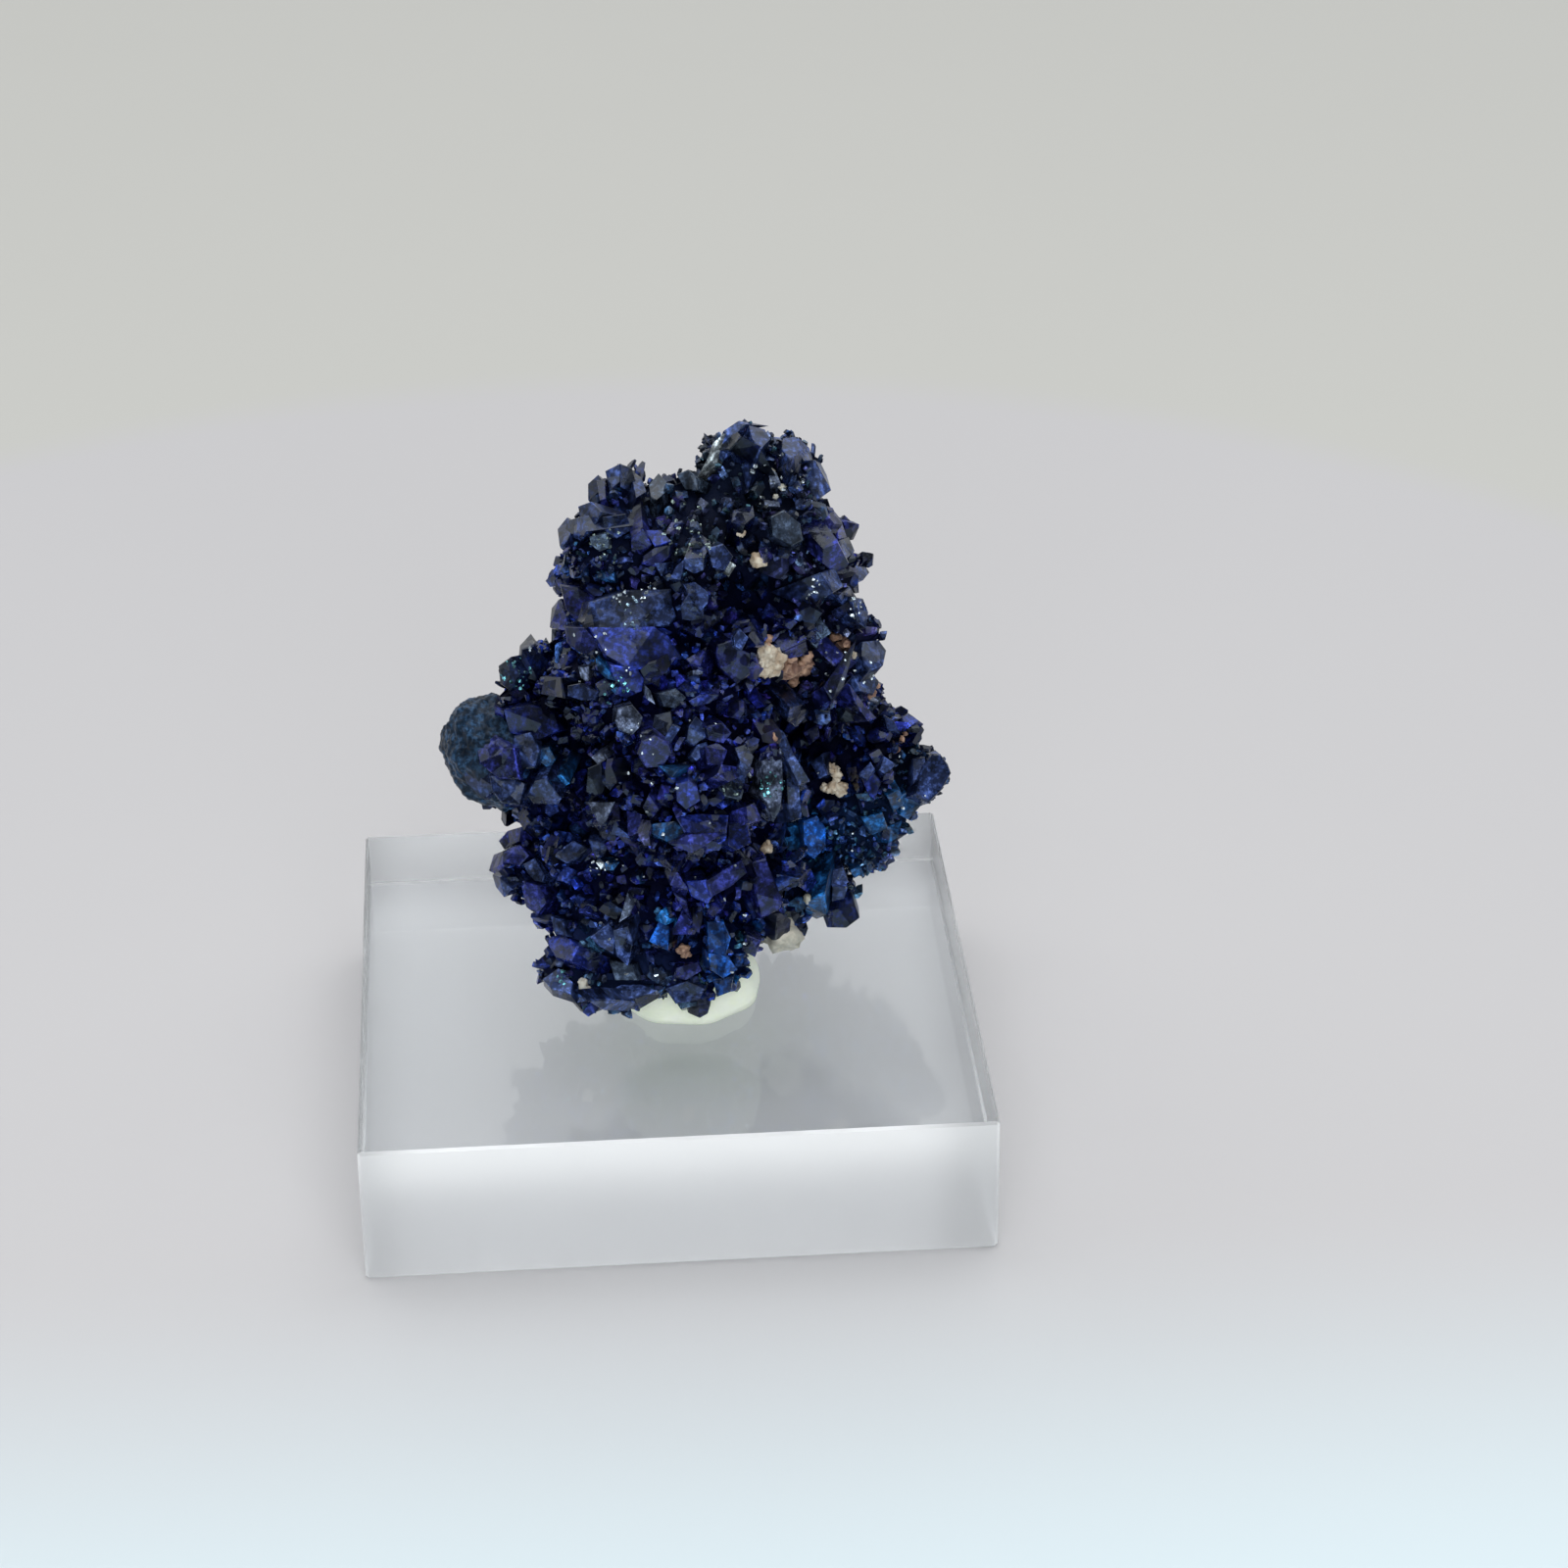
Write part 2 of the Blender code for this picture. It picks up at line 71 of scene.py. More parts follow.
MM = 0.001
BODY = "root"
log = logging.getLogger("azurite")

Colour = tuple[float, float, float]
Point = tuple[float, float, float]


class Wire:
    """An output socket of a shader graph, on which arithmetic adds the nodes that work it out."""

    def __init__(self, graph: "Graph", socket: bpy.types.NodeSocket | None) -> None:
        """Keeps the socket and the graph that it belongs to."""
        self.graph = graph
        self.socket = socket

    def __add__(self, other: "Wire | float | Colour") -> "Wire":
        """This plus other."""
        return self.graph.combine("ADD", self, other)

    def __radd__(self, other: "float | Colour") -> "Wire":
        """Other plus this."""
        return self.graph.combine("ADD", other, self)

    def __sub__(self, other: "Wire | float | Colour") -> "Wire":
        """This minus other."""
        return self.graph.combine("SUBTRACT", self, other)

    def __rsub__(self, other: "float | Colour") -> "Wire":
        """Other minus this."""
        return self.graph.combine("SUBTRACT", other, self)

    def __mul__(self, other: "Wire | float | Colour") -> "Wire":
        """This times other."""
        return self.graph.combine("MULTIPLY", self, other)

    def __rmul__(self, other: "float | Colour") -> "Wire":
        """Other times this."""
        return self.graph.combine("MULTIPLY", other, self)


class Graph:
    """A node tree that is written as Python expressions."""

    # A Mix node gives its number, vector and colour sockets the same names, so the colour ones go by number.
    MIX_FACTOR, MIX_FIRST, MIX_SECOND, MIX_RESULT = 0, 6, 7, 2

    def __init__(self, tree: bpy.types.NodeTree) -> None:
        """Clears the tree, so that every node in it is one that this graph adds."""
        self.tree = tree
        tree.nodes.clear()

    def node(self, kind: str, settings: dict | None = None, inputs: dict | None = None, output: int | str = 0) -> Wire:
        """Adds one node.

        Args:
            kind: The node's Blender type.
            settings: Its own settings, which are set first.
            inputs: Values or wires for its input sockets, by name or number.
            output: The output socket to return, by name or number.

        Returns:
            The wire from that output.
        """
        made = self.tree.nodes.new(kind)
        for name, value in (settings or {}).items():
            setattr(made, name, value)
        for name, value in (inputs or {}).items():
            self._feed(made.inputs[name], value)
        return Wire(self, made.outputs[output] if made.outputs else None)

    def combine(self, name: str, first: "Wire | float | Colour", second: "Wire | float | Colour") -> Wire:
        """Joins two operands with the node that suits them: Mix, Vector Math or Math.

        Args:
            name: The operation, which all three nodes spell alike.
            first: The left operand.
            second: The right operand.

        Returns:
            The wire that carries the result.
        """
        kinds = {operand.socket.type for operand in (first, second) if isinstance(operand, Wire)}
        if "RGBA" in kinds:
            return self.mix(1.0, self._tripled(first), self._tripled(second), name)
        if "VECTOR" in kinds:
            operands = {0: self._tripled(first), 1: self._tripled(second)}
            return self.node("ShaderNodeVectorMath", {"operation": name}, operands)
        return self.node("ShaderNodeMath", {"operation": name}, {0: first, 1: second})

    def mix(self, factor: "Wire | float", first: "Wire | Colour", second: "Wire | Colour", blend: str = "MIX") -> Wire:
        """A colour between first and the blend of both.

        Args:
            factor: 0 for all first, and 1 for the whole blend.
            first: The colour at 0.
            second: The colour that is blended in.
            blend: How they blend. MIX gives second alone at 1.

        Returns:
            The wire that carries the mixed colour.
        """
        settings = {"data_type": "RGBA", "blend_type": blend}
        operands = {self.MIX_FACTOR: factor, self.MIX_FIRST: first, self.MIX_SECOND: second}
        return self.node("ShaderNodeMix", settings, operands, self.MIX_RESULT)

    def noise(self, place: Wire, scale: float, detail: float = 3.0, roughness: float = 0.55) -> Wire:
        """Soft noise from 0 to 1.

        Args:
            place: The coordinates that it is read at.
            scale: How many features fit in one unit of place.
            detail: The number of finer layers.
            roughness: How strongly the finer layers show.

        Returns:
            The wire that carries the noise value.
        """
        inputs = {"Vector": place, "Scale": scale, "Detail": detail, "Roughness": roughness}
        return self.node("ShaderNodeTexNoise", None, inputs, "Fac")

    def ramp(self, value: Wire, low: float, high: float, bottom: float = 0.0, top: float = 1.0) -> Wire:
        """A value stretched smoothly from low and high to bottom and top.

        Args:
            value: What is stretched.
            low: The value that becomes bottom.
            high: The value that becomes top.
            bottom: The lowest result.
            top: The highest result.

        Returns:
            The wire that carries the stretched value.
        """
        inputs = {"Value": value, "From Min": low, "From Max": high, "To Min": bottom, "To Max": top}
        return self.node("ShaderNodeMapRange", {"interpolation_type": "SMOOTHSTEP"}, inputs)

    def place(self) -> Wire:
        """The coordinates of the piece itself, in millimetres."""
        return self.node("ShaderNodeTexCoord", None, None, "Object") * (1 / MM, 1 / MM, 1 / MM)

    def attribute(self, name: str, output: str) -> Wire:
        """What the mesh stores at each point under that name."""
        return self.node("ShaderNodeAttribute", {"attribute_name": name}, None, output)

    def geometry(self, output: str) -> Wire:
        """What the surface itself gives under that name."""
        return self.node("ShaderNodeNewGeometry", None, None, output)

    def axis(self, vector: Wire, name: str) -> Wire:
        """The vector's X, Y or Z."""
        return self.node("ShaderNodeSeparateXYZ", None, {"Vector": vector}, name)

    def bump(self, height: Wire, depth: float, strength: float = 1.0, normal: Wire | None = None) -> Wire:
        """The normal of a surface with this relief.

        Args:
            height: The relief, from 0 to 1.
            depth: How deep it is, in millimetres.
            strength: How strongly it shows.
            normal: A normal that the relief is added to.

        Returns:
            The wire that carries the new normal.
        """
        inputs = {"Height": height, "Distance": depth * MM, "Strength": strength}
        if normal:
            inputs["Normal"] = normal
        return self.node("ShaderNodeBump", None, inputs)

    def _feed(self, socket: bpy.types.NodeSocket, value: "Wire | float | Colour") -> None:
        """Links a wire to a socket, or sets the socket to a value.

        Args:
            socket: The node's input socket.
            value: The wire, number, colour or vector for it.
        """
        if isinstance(value, Wire):
            self.tree.links.new(value.socket, socket)
        elif socket.type == "RGBA" and len(value) == 3:
            socket.default_value = (*value, 1.0)
        else:
            socket.default_value = value

    @staticmethod
    def _tripled(value: "Wire | float | Colour") -> "Wire | Colour":
        """The value as something that a colour or vector socket takes."""
        return (value,) * 3 if isinstance(value, (int, float)) else value


class Finish:
    """What every finish shares: it turns the inputs of its shaders into a material."""

    name: str

    def make(self) -> bpy.types.Material:
        """Builds the material's shaders.

        Returns:
            The finished material.
        """
        made = bpy.data.materials.new(self.name)
        made.use_nodes = True
        graph = Graph(made.node_tree)
        shaders = {"Surface": graph.node("ShaderNodeBsdfPrincipled", None, self.surface(graph))}
        absorbed = self.volume()
        if absorbed:
            shaders["Volume"] = graph.node("ShaderNodeVolumeAbsorption", None, absorbed)
        graph.node("ShaderNodeOutputMaterial", None, shaders)
        return made

    def surface(self, graph: Graph) -> dict:
        """The inputs of the surface shader."""
        raise NotImplementedError

    def volume(self) -> dict:
        """The inputs of the absorbing volume, or nothing where there is none."""
        return {}


@dataclass(frozen=True)
class AzuriteFinish(Finish):
    """Glassy azurite: each crystal's own blue, growth lines along it, and dust on what faces up."""

    name: str = "azurite faces"
    index: float = 1.58
    specular: float = 0.5
    sheen: Colour = (0.72, 0.84, 1.0)
    smooth: float = 0.12
    rough: float = 0.4
    clouding: tuple[float, float] = (0.15, 1.9)
    flecking: tuple[float, float] = (0.5, 2.7)
    cell_scale: Point = (1.9, 1.9, 0.9)
    cell_steps: tuple[float, float] = (0.75, 0.5)
    tilt: float = 0.36
    line_scale: Point = (7.0, 7.0, 0.5)
    line_depth: float = 0.02
    pit_depth: float = 0.018
    dust_colour: Colour = (0.052, 0.066, 0.110)
    dust_share: float = 0.4
    dust_rough: float = 0.35

    def surface(self, graph: Graph) -> dict:
        """The shader's inputs, which read tint, shine, dust and grown from the mesh.

        Args:
            graph: The material's graph.

        Returns:
            The inputs by name.
        """
        tint = graph.attribute("tint", "Color")
        shine = graph.attribute("shine", "Fac")
        dust = graph.attribute("dust", "Fac")
        grown = graph.attribute("grown", "Vector")
        place = graph.place()
        cloud = graph.noise(grown, 0.9, 4.0)
        grain = graph.noise(place, 5.5, 2.0)
        cells = graph.node("ShaderNodeTexVoronoi", None, {"Vector": grown * self.cell_scale, "Scale": 1.0}, "Color")
        step = graph.node("ShaderNodeSeparateColor", None, {0: cells}, 0)
        fleck = graph.ramp(graph.noise(grown, 3.4, 3.0, 0.7), 0.44, 0.68, *self.flecking)
        base, rise = self.cell_steps
        deep = tint * (graph.ramp(cloud, 0.34, 0.66, *self.clouding) * (base + rise * step) * fleck)
        facing = graph.geometry("True Normal")
        bent = graph.geometry("Normal") + (cells - 0.5) * self.tilt
        tilted = graph.node("ShaderNodeVectorMath", {"operation": "NORMALIZE"}, {0: bent})
        upward = graph.axis(facing, "Z")
        settled = graph.ramp(upward, 0.1, 0.95) * graph.ramp(grain, 0.32, 0.72) * dust * self.dust_share
        lines = graph.noise(grown * self.line_scale, 1.0, 2.0)
        pits = graph.noise(place, 4.2, 4.0, 0.65)
        relief = graph.bump(pits, self.pit_depth, 0.35, graph.bump(lines, self.line_depth, 0.5, tilted))
        return {
            "Base Color": graph.mix(settled, deep, self.dust_colour),
            "Roughness": self.smooth + (self.rough - self.smooth) * shine + self.dust_rough * settled,
            "IOR": self.index,
            "Specular IOR Level": self.specular,
            "Specular Tint": (*self.sheen, 1.0),
            "Normal": relief,
        }


@dataclass(frozen=True)
class GapShadeFinish(Finish):
    """Painted shade: the stone between crystals, painted a near-black blue, darker still in soft patches."""

    name: str = "azurite gap shade"
    deepest: float = 0.4
    specular: float = 0.08

    def surface(self, graph: Graph) -> dict:
        """The shader's inputs, which read the painted shade's deep blue from the mesh.

        Args:
            graph: The material's graph.

        Returns:
            The inputs by name.
        """
        place = graph.place()
        patch = graph.ramp(graph.noise(place, 0.7, 3.0), 0.35, 0.65)
        return {
            "Base Color": graph.attribute("tint", "Color") * (1.0 - (1.0 - self.deepest) * patch),
            "Roughness": 0.55 + 0.3 * patch,
            "Specular IOR Level": self.specular,
            "Normal": graph.bump(graph.noise(place, 3.0, 3.0), 0.1, 0.8),
        }


@dataclass(frozen=True)
class StoneFinish(Finish):
    """A dull pale mineral that grows among the azurite: iron-stained matrix, or a clean white grain."""

    name: str
    light: Colour
    dark: Colour
    roughness: float
    clearness: float
    scatter: Point = (0.6, 0.5, 0.4)

    def surface(self, graph: Graph) -> dict:
        """The shader's inputs, mottled from the light colour to the dark one.

        Args:
            graph: The material's graph.

        Returns:
            The inputs by name.
        """
        place = graph.place()
        mottle = graph.ramp(graph.noise(place, 1.6, 4.0, 0.6), 0.35, 0.65)
        crumb = graph.noise(place, 9.0, 3.0, 0.6)
        return {
            "Base Color": graph.mix(mottle, self.light, self.dark),
            "Roughness": self.roughness - 0.25 * crumb,
            "Subsurface Weight": self.clearness,
            "Subsurface Radius": tuple(reach * MM for reach in self.scatter),
            "Subsurface Scale": 1.0,
            "Normal": graph.bump(crumb, 0.04, 0.6),
        }


@dataclass(frozen=True)
class AcrylicFinish(Finish):
    """Clear acrylic, a little grey in its depth: rubbing marks on the polished top, and slightly milky sides."""

    name: str = "clear acrylic"
    index: float = 1.49
    specular: float = 0.2
    colour: Colour = (0.965, 0.988, 1.0)
    depth_colour: Colour = (0.62, 0.72, 0.80)
    depth_density: float = 3.0
    rubbed: float = 0.11
    sawn: float = 0.33

    def surface(self, graph: Graph) -> dict:
        """The shader's inputs, which tell the upright sides from the top by the way they face.

        Args:
            graph: The material's graph.

        Returns:
            The inputs by name.
        """
        place = graph.place()
        rub = graph.ramp(graph.noise(place * (1.0, 0.2, 1.0), 0.5, 2.0), 0.4, 0.8)
        upward = graph.axis(graph.geometry("True Normal"), "Z")
        upright = graph.ramp(upward * upward, 0.95, 0.6)
        streak = graph.noise(place * (0.5, 0.5, 1.6), 0.5, 3.0)
        return {
            "Base Color": self.colour,
            "Roughness": (1.0 - upright) * (0.5 + rub) * self.rubbed + upright * (0.9 + 0.3 * streak) * self.sawn,
            "IOR": self.index,
            "Specular IOR Level": self.specular,
            "Transmission Weight": 1.0,
        }

    def volume(self) -> dict:
        """The grey that the acrylic takes on in its depth."""
        return {"Color": self.depth_colour, "Density": self.depth_density}


@dataclass(frozen=True)
class PuttyFinish(Finish):
    """Soft pale putty that lets a little light in, with a painted glow that stands in for the light that the clear
    block leads up.
    """

    name: str = "mineral putty"
    light: Colour = (0.93, 0.98, 0.86)
    dark: Colour = (0.86, 0.94, 0.78)
    roughness: float = 0.42
    painted_glow: float = 0.19
    painted_glow_colour: Colour = (0.84, 1.0, 0.76)
    clearness: float = 0.25
    scatter: Point = (1.4, 1.5, 1.0)

    def surface(self, graph: Graph) -> dict:
        """The shader's inputs, with a fingertip's faint drag marks.

        Args:
            graph: The material's graph.

        Returns:
            The inputs by name.
        """
        place = graph.place()
        patch = graph.ramp(graph.noise(place, 0.8, 2.0), 0.3, 0.7)
        drag = graph.noise(place * (1.0, 1.0, 3.0), 2.4, 3.0)
        return {
            "Base Color": graph.mix(patch, self.light, self.dark),
            "Roughness": self.roughness + 0.2 * drag,
            # The emission is a painted glow, for the light led up through the clear block.
            "Emission Color": (*self.painted_glow_colour, 1.0),
            "Emission Strength": self.painted_glow,
            "Subsurface Weight": self.clearness,
            "Subsurface Radius": tuple(reach * MM for reach in self.scatter),
            "Subsurface Scale": 1.0,
            "Normal": graph.bump(drag, 0.12, 0.5),
        }


@dataclass(frozen=True)
class TurntableFinish(Finish):
    """The pale round table, painted lighter and cooler towards the front as painted light, and past its soft edge the
    grey sheet behind it.
    """

    name: str = "pale turntable"
    centre: tuple[float, float] = (-2.0, 7.5)
    radius: float = 88.5
    edge: float = 3.5
    table: Colour = (0.590, 0.588, 0.600)
    near: Colour = (0.68, 0.80, 0.85)
    beyond: Colour = (0.585, 0.59, 0.56)

    def surface(self, graph: Graph) -> dict:
        """The shader's inputs. The sheet shows only where it is both past the edge and behind the part.

        Args:
            graph: The material's graph.

        Returns:
            The inputs by name.
        """
        place = graph.place()
        flat = (place - (*self.centre, 0.0)) * (1.0, 1.0, 0.0)
        out = graph.node("ShaderNodeVectorMath", {"operation": "LENGTH"}, {0: flat}, "Value")
        across = graph.axis(place, "Y")
        # Towards the front the table turns a lighter cyan white: painted light.
        table = graph.mix(graph.ramp(across, -12.0, -48.0), self.table, self.near)
        past = graph.ramp(out, self.radius - self.edge, self.radius + self.edge)
        behind = graph.ramp(across, 20.0, 60.0) * past
        return {
            "Base Color": graph.mix(behind, table, self.beyond),
            "Roughness": 0.55 + 0.1 * graph.noise(place, 0.05, 2.0),
            "Specular IOR Level": 0.25,
        }


def added(name: str, data: bpy.types.ID) -> bpy.types.Object:
    """Makes an object and links it to the scene.

    Args:
        name: Its name.
        data: The mesh, light or camera that it holds.

    Returns:
        The object.
    """
    made = bpy.data.objects.new(name, data)
    bpy.context.scene.collection.objects.link(made)
    return made


def tied(piece: bpy.types.Object, node: str) -> bpy.types.Object:
    """Says what a piece stands for.

    Args:
        piece: The piece, which rides on the one body.
        node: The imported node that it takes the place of.

    Returns:
        The piece.
    """
    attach(piece, BODY)
    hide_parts(node)
    return piece


def fans(faces: list[np.ndarray]) -> np.ndarray:
    """Cuts flat faces into triangles.

    Args:
        faces: The faces, whose points are stored one face after the other.

    Returns:
        The triangles, as point numbers.
    """
    starts = np.cumsum([0] + [len(face) for face in faces[:-1]])
    return np.array([
        (start, start + turn, start + turn + 1)
        for start, face in zip(starts, faces)
        for turn in range(1, len(face) - 1)
    ])


def unit(vectors: np.ndarray) -> np.ndarray:
    """The vectors, each at a length of one."""
    return vectors / np.linalg.norm(vectors, axis=1, keepdims=True)


@dataclass
class Mesh:
    """Points and triangles, with what each point stores for the azurite finish."""

    points: np.ndarray
    triangles: np.ndarray
    tint: np.ndarray
    shine: np.ndarray
    dust: np.ndarray
    grown: np.ndarray

    @classmethod
    def joined(cls, parts: "list[Mesh]") -> "Mesh":
        """Makes one mesh of many.

        Args:
            parts: The meshes, at least one.

        Returns:
            The mesh.
        """
        offsets = np.cumsum([0] + [len(part.points) for part in parts[:-1]])
        triangles = np.concatenate([part.triangles + offset for part, offset in zip(parts, offsets)])
        shared = {
            name: np.concatenate([getattr(part, name) for part in parts])
            for name in ("points", "tint", "shine", "dust", "grown")
        }
        return cls(triangles=triangles, **shared)

    def to_object(self, name: str, material: bpy.types.Material, smooth: bool = False) -> bpy.types.Object:
        """Makes a Blender object.

        Args:
            name: The object's name.
            material: Its finish.
            smooth: True for rounded faces, and False for flat ones.

        Returns:
            The object, linked to the scene.
        """
        made = bpy.data.meshes.new(name)
        made.vertices.add(len(self.points))
        made.vertices.foreach_set("co", (self.points * MM).astype(np.float32).ravel())
        made.loops.add(self.triangles.size)
        made.loops.foreach_set("vertex_index", self.triangles.astype(np.int32).ravel())
        made.polygons.add(len(self.triangles))
        made.polygons.foreach_set("loop_start", np.arange(0, self.triangles.size, 3, dtype=np.int32))
        made.update(calc_edges=True)
        made.polygons.foreach_set("use_smooth", np.full(len(self.triangles), smooth))
        opaque = np.concatenate([self.tint, np.ones((len(self.tint), 1))], axis=1)
        for stored, kind, field, values in (
            ("tint", "FLOAT_COLOR", "color", opaque),
            ("shine", "FLOAT", "value", self.shine),
            ("dust", "FLOAT", "value", self.dust),
            ("grown", "FLOAT_VECTOR", "vector", self.grown),
        ):
            made.attributes.new(stored, kind, "POINT").data.foreach_set(field, values.ravel())
        made.materials.append(material)
        made.validate()
        return added(name, made)


class Habit(Enum):
    """The forms that azurite crystals take here: side bevel, end slope, cut of the brow, and how many are cut."""

    def __init__(self, bevel: float, slope: float, cut: float, copies: int) -> None:
        """Names the four values."""
        self.bevel, self.slope, self.cut, self.copies = bevel, slope, cut, copies

    WEDGE = (0.80, 48.0, 1.05, 8)
    RHOMB = (0.62, 42.0, 1.15, 8)
    SPIRE = (0.70, 62.0, 1.3, 2)
    BLOCK = (0.98, 22.0, 0.95, 9)


class CrystalForm:
    """A crystal one unit long, wide and deep, as points and triangles, ready to be scaled."""

    TOLERANCE = 1e-6
    ON_FACE = 1e-4

    def __init__(self, habit: Habit, rng: np.random.Generator) -> None:
        """Cuts the form from flat faces, each with a twin on the other side.

        Args:
            habit: The kind of form.
            rng: The seeded source of chance.
        """
        planes = self._planes(habit, rng)
        self.normals = np.array([normal / np.linalg.norm(normal) for normal, _ in planes])
        self.distances = np.array([distance / np.linalg.norm(normal) for normal, distance in planes])
        corners = self._corners()
        faces = self._faces(corners)
        self.points = corners[np.concatenate(faces)]
        self.face_of = np.repeat(np.arange(len(faces)), [len(face) for face in faces])
        self.triangles = fans(faces)

    def _planes(self, habit: Habit, rng: np.random.Generator) -> list:
        """The faces of one crystal.

        Args:
            habit: The kind of form.
            rng: The seeded source of chance.

        Returns:
            Each face as a direction and how far it lies that way.
        """
        half = [(np.array([1.0, 0.0, 0.0]), 0.5), (np.array([0.0, 1.0, 0.0]), 0.5)]
        for sign in (1, -1):
            lean = np.array([1.0, sign * rng.uniform(0.75, 1.3), 0.0])
            half.append((lean, (0.5 + 0.5 * abs(lean[1])) * habit.bevel * rng.uniform(0.9, 1.12)))
        for sign in (1, -1):
            tilt = math.radians(habit.slope + rng.uniform(-9, 9))
            end = np.array([sign * math.sin(tilt), rng.uniform(-0.15, 0.15), math.cos(tilt)])
            half.append((end, 0.5 * end[2] * rng.uniform(0.92, 1.0)))
        tilt = math.radians(rng.uniform(35, 62))
        brow = np.array([rng.uniform(-0.25, 0.25), rng.choice((-1, 1)) * math.sin(tilt), math.cos(tilt)])
        half.append((brow, 0.5 * brow[2] * habit.cut * rng.uniform(0.95, 1.15)))
        return half + [(-normal, distance) for normal, distance in half]

    def _corners(self) -> np.ndarray:
        """The points where three faces meet and no other face cuts them off.

        Returns:
            The corners, each once.
        """
        triples = np.array(list(itertools.combinations(range(len(self.normals)), 3)))
        systems = self.normals[triples]
        solvable = np.abs(np.linalg.det(systems)) > self.TOLERANCE
        points = np.linalg.solve(systems[solvable], self.distances[triples[solvable]][..., None])[..., 0]
        inside = (points @ self.normals.T <= self.distances + self.TOLERANCE).all(axis=1)
        return np.unique(points[inside].round(6), axis=0)

    def _faces(self, corners: np.ndarray) -> list[np.ndarray]:
        """Finds which corners each face has.

        Args:
            corners: All the corners of the form.

        Returns:
            Each face's corners, in order round it as seen from outside.
        """
        faces = []
        for normal, distance in zip(self.normals, self.distances):
            on = np.flatnonzero(np.abs(corners @ normal - distance) < self.ON_FACE)
            if len(on) < 3:
                continue
            spokes = corners[on] - corners[on].mean(axis=0)
            first = spokes[0] / np.linalg.norm(spokes[0])
            angles = np.arctan2(spokes @ np.cross(normal, first), spokes @ first)
            faces.append(on[np.argsort(angles)])
        return faces


@dataclass(frozen=True)
class Zone:
    """A region of the cluster with its own colour, crystal size, dust and shine, and how much of its tint the painted
    shade in its gaps and at the roots of its crystals keeps.
    """

    name: str
    centre: Point
    reach: float
    tint: Colour
    grain: float
    dust: float
    shine: float
    gap: float


class Hue(Enum):
    """The blues of the photographed crystals and the greys among them, with a near-black painted shade and a silver
    painted glint.
    """

    PAINTED_SHADE = (0.001, 0.003, 0.014)
    INDIGO = (0.006, 0.012, 0.088)
    VIOLET = (0.012, 0.016, 0.098)
    SLATE = (0.016, 0.028, 0.082)
    OLIVE = (0.018, 0.027, 0.040)
    AZURE = (0.005, 0.058, 0.270)
    TEAL = (0.005, 0.039, 0.115)
    PALE = (0.080, 0.102, 0.158)
    # A painted glint: silver on the small facets that catch the light.
    SILVER_GLINT = (0.400, 0.460, 0.480)


@dataclass(frozen=True)
class Facet:
    """A crystal whose broad face is seen in the photograph, by its corners in the 1600 pixel frame.

    The corners go x, y, x, y. faces is the direction that the face turns to, or None where it just follows
    the stone, and lift is how far in front of the stone its middle stands.
    """

    name: str
    hue: Hue
    tone: float
    corners: tuple[int, ...]
    faces: Point | None = None
    lift: float = 0.45


@dataclass(frozen=True)
class BedLayer:
    """One size of crystal strewn over the stone.

    spacing is the distance between neighbours, and length, width and stand are ranges: the crystal's
    own sizes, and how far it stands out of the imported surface. tries is how many places are drawn. margin is
    how many pixels of the frame the layer keeps clear of the photographed crystals, and coarse the grain under
    which it doesn't grow. patchiness is how much is left bare in patches, and lean how far crystals tip over.
    """

    name: str
    seed: int
    spacing: float
    length: tuple[float, float]
    width: tuple[float, float]
    stand: tuple[float, float]
    tries: int
    margin: float
    coarse: float
    patchiness: float
    lean: float


class Sparkle(Enum):
    """The pale tints of the tiny faces: painted glints in turquoise, cyan and silver, and the greenish grey of
    sugar-fine crystals in sage.
    """

    TURQUOISE = (0.10, 0.30, 0.34)
    CYAN = (0.16, 0.24, 0.30)
    SILVER_GLINT = (0.45, 0.52, 0.56)
    SAGE = (0.16, 0.21, 0.19)


@dataclass(frozen=True)
class GlintSpot:
    """A place where tiny flat faces catch the light, most of them tinted pale as painted glints."""

    name: str
    centre: Point
    reach: float
    count: int
    sparkle: Sparkle


REST_TINT = (0.006, 0.012, 0.075)
# The navy that every tint is lifted by, so that the deepest painted shade is navy, not black.
DEEPEST_SHADE_TINT = (0.0001, 0.0003, 0.0075)
MOST_TINT = (0.10, 0.12, 0.20)

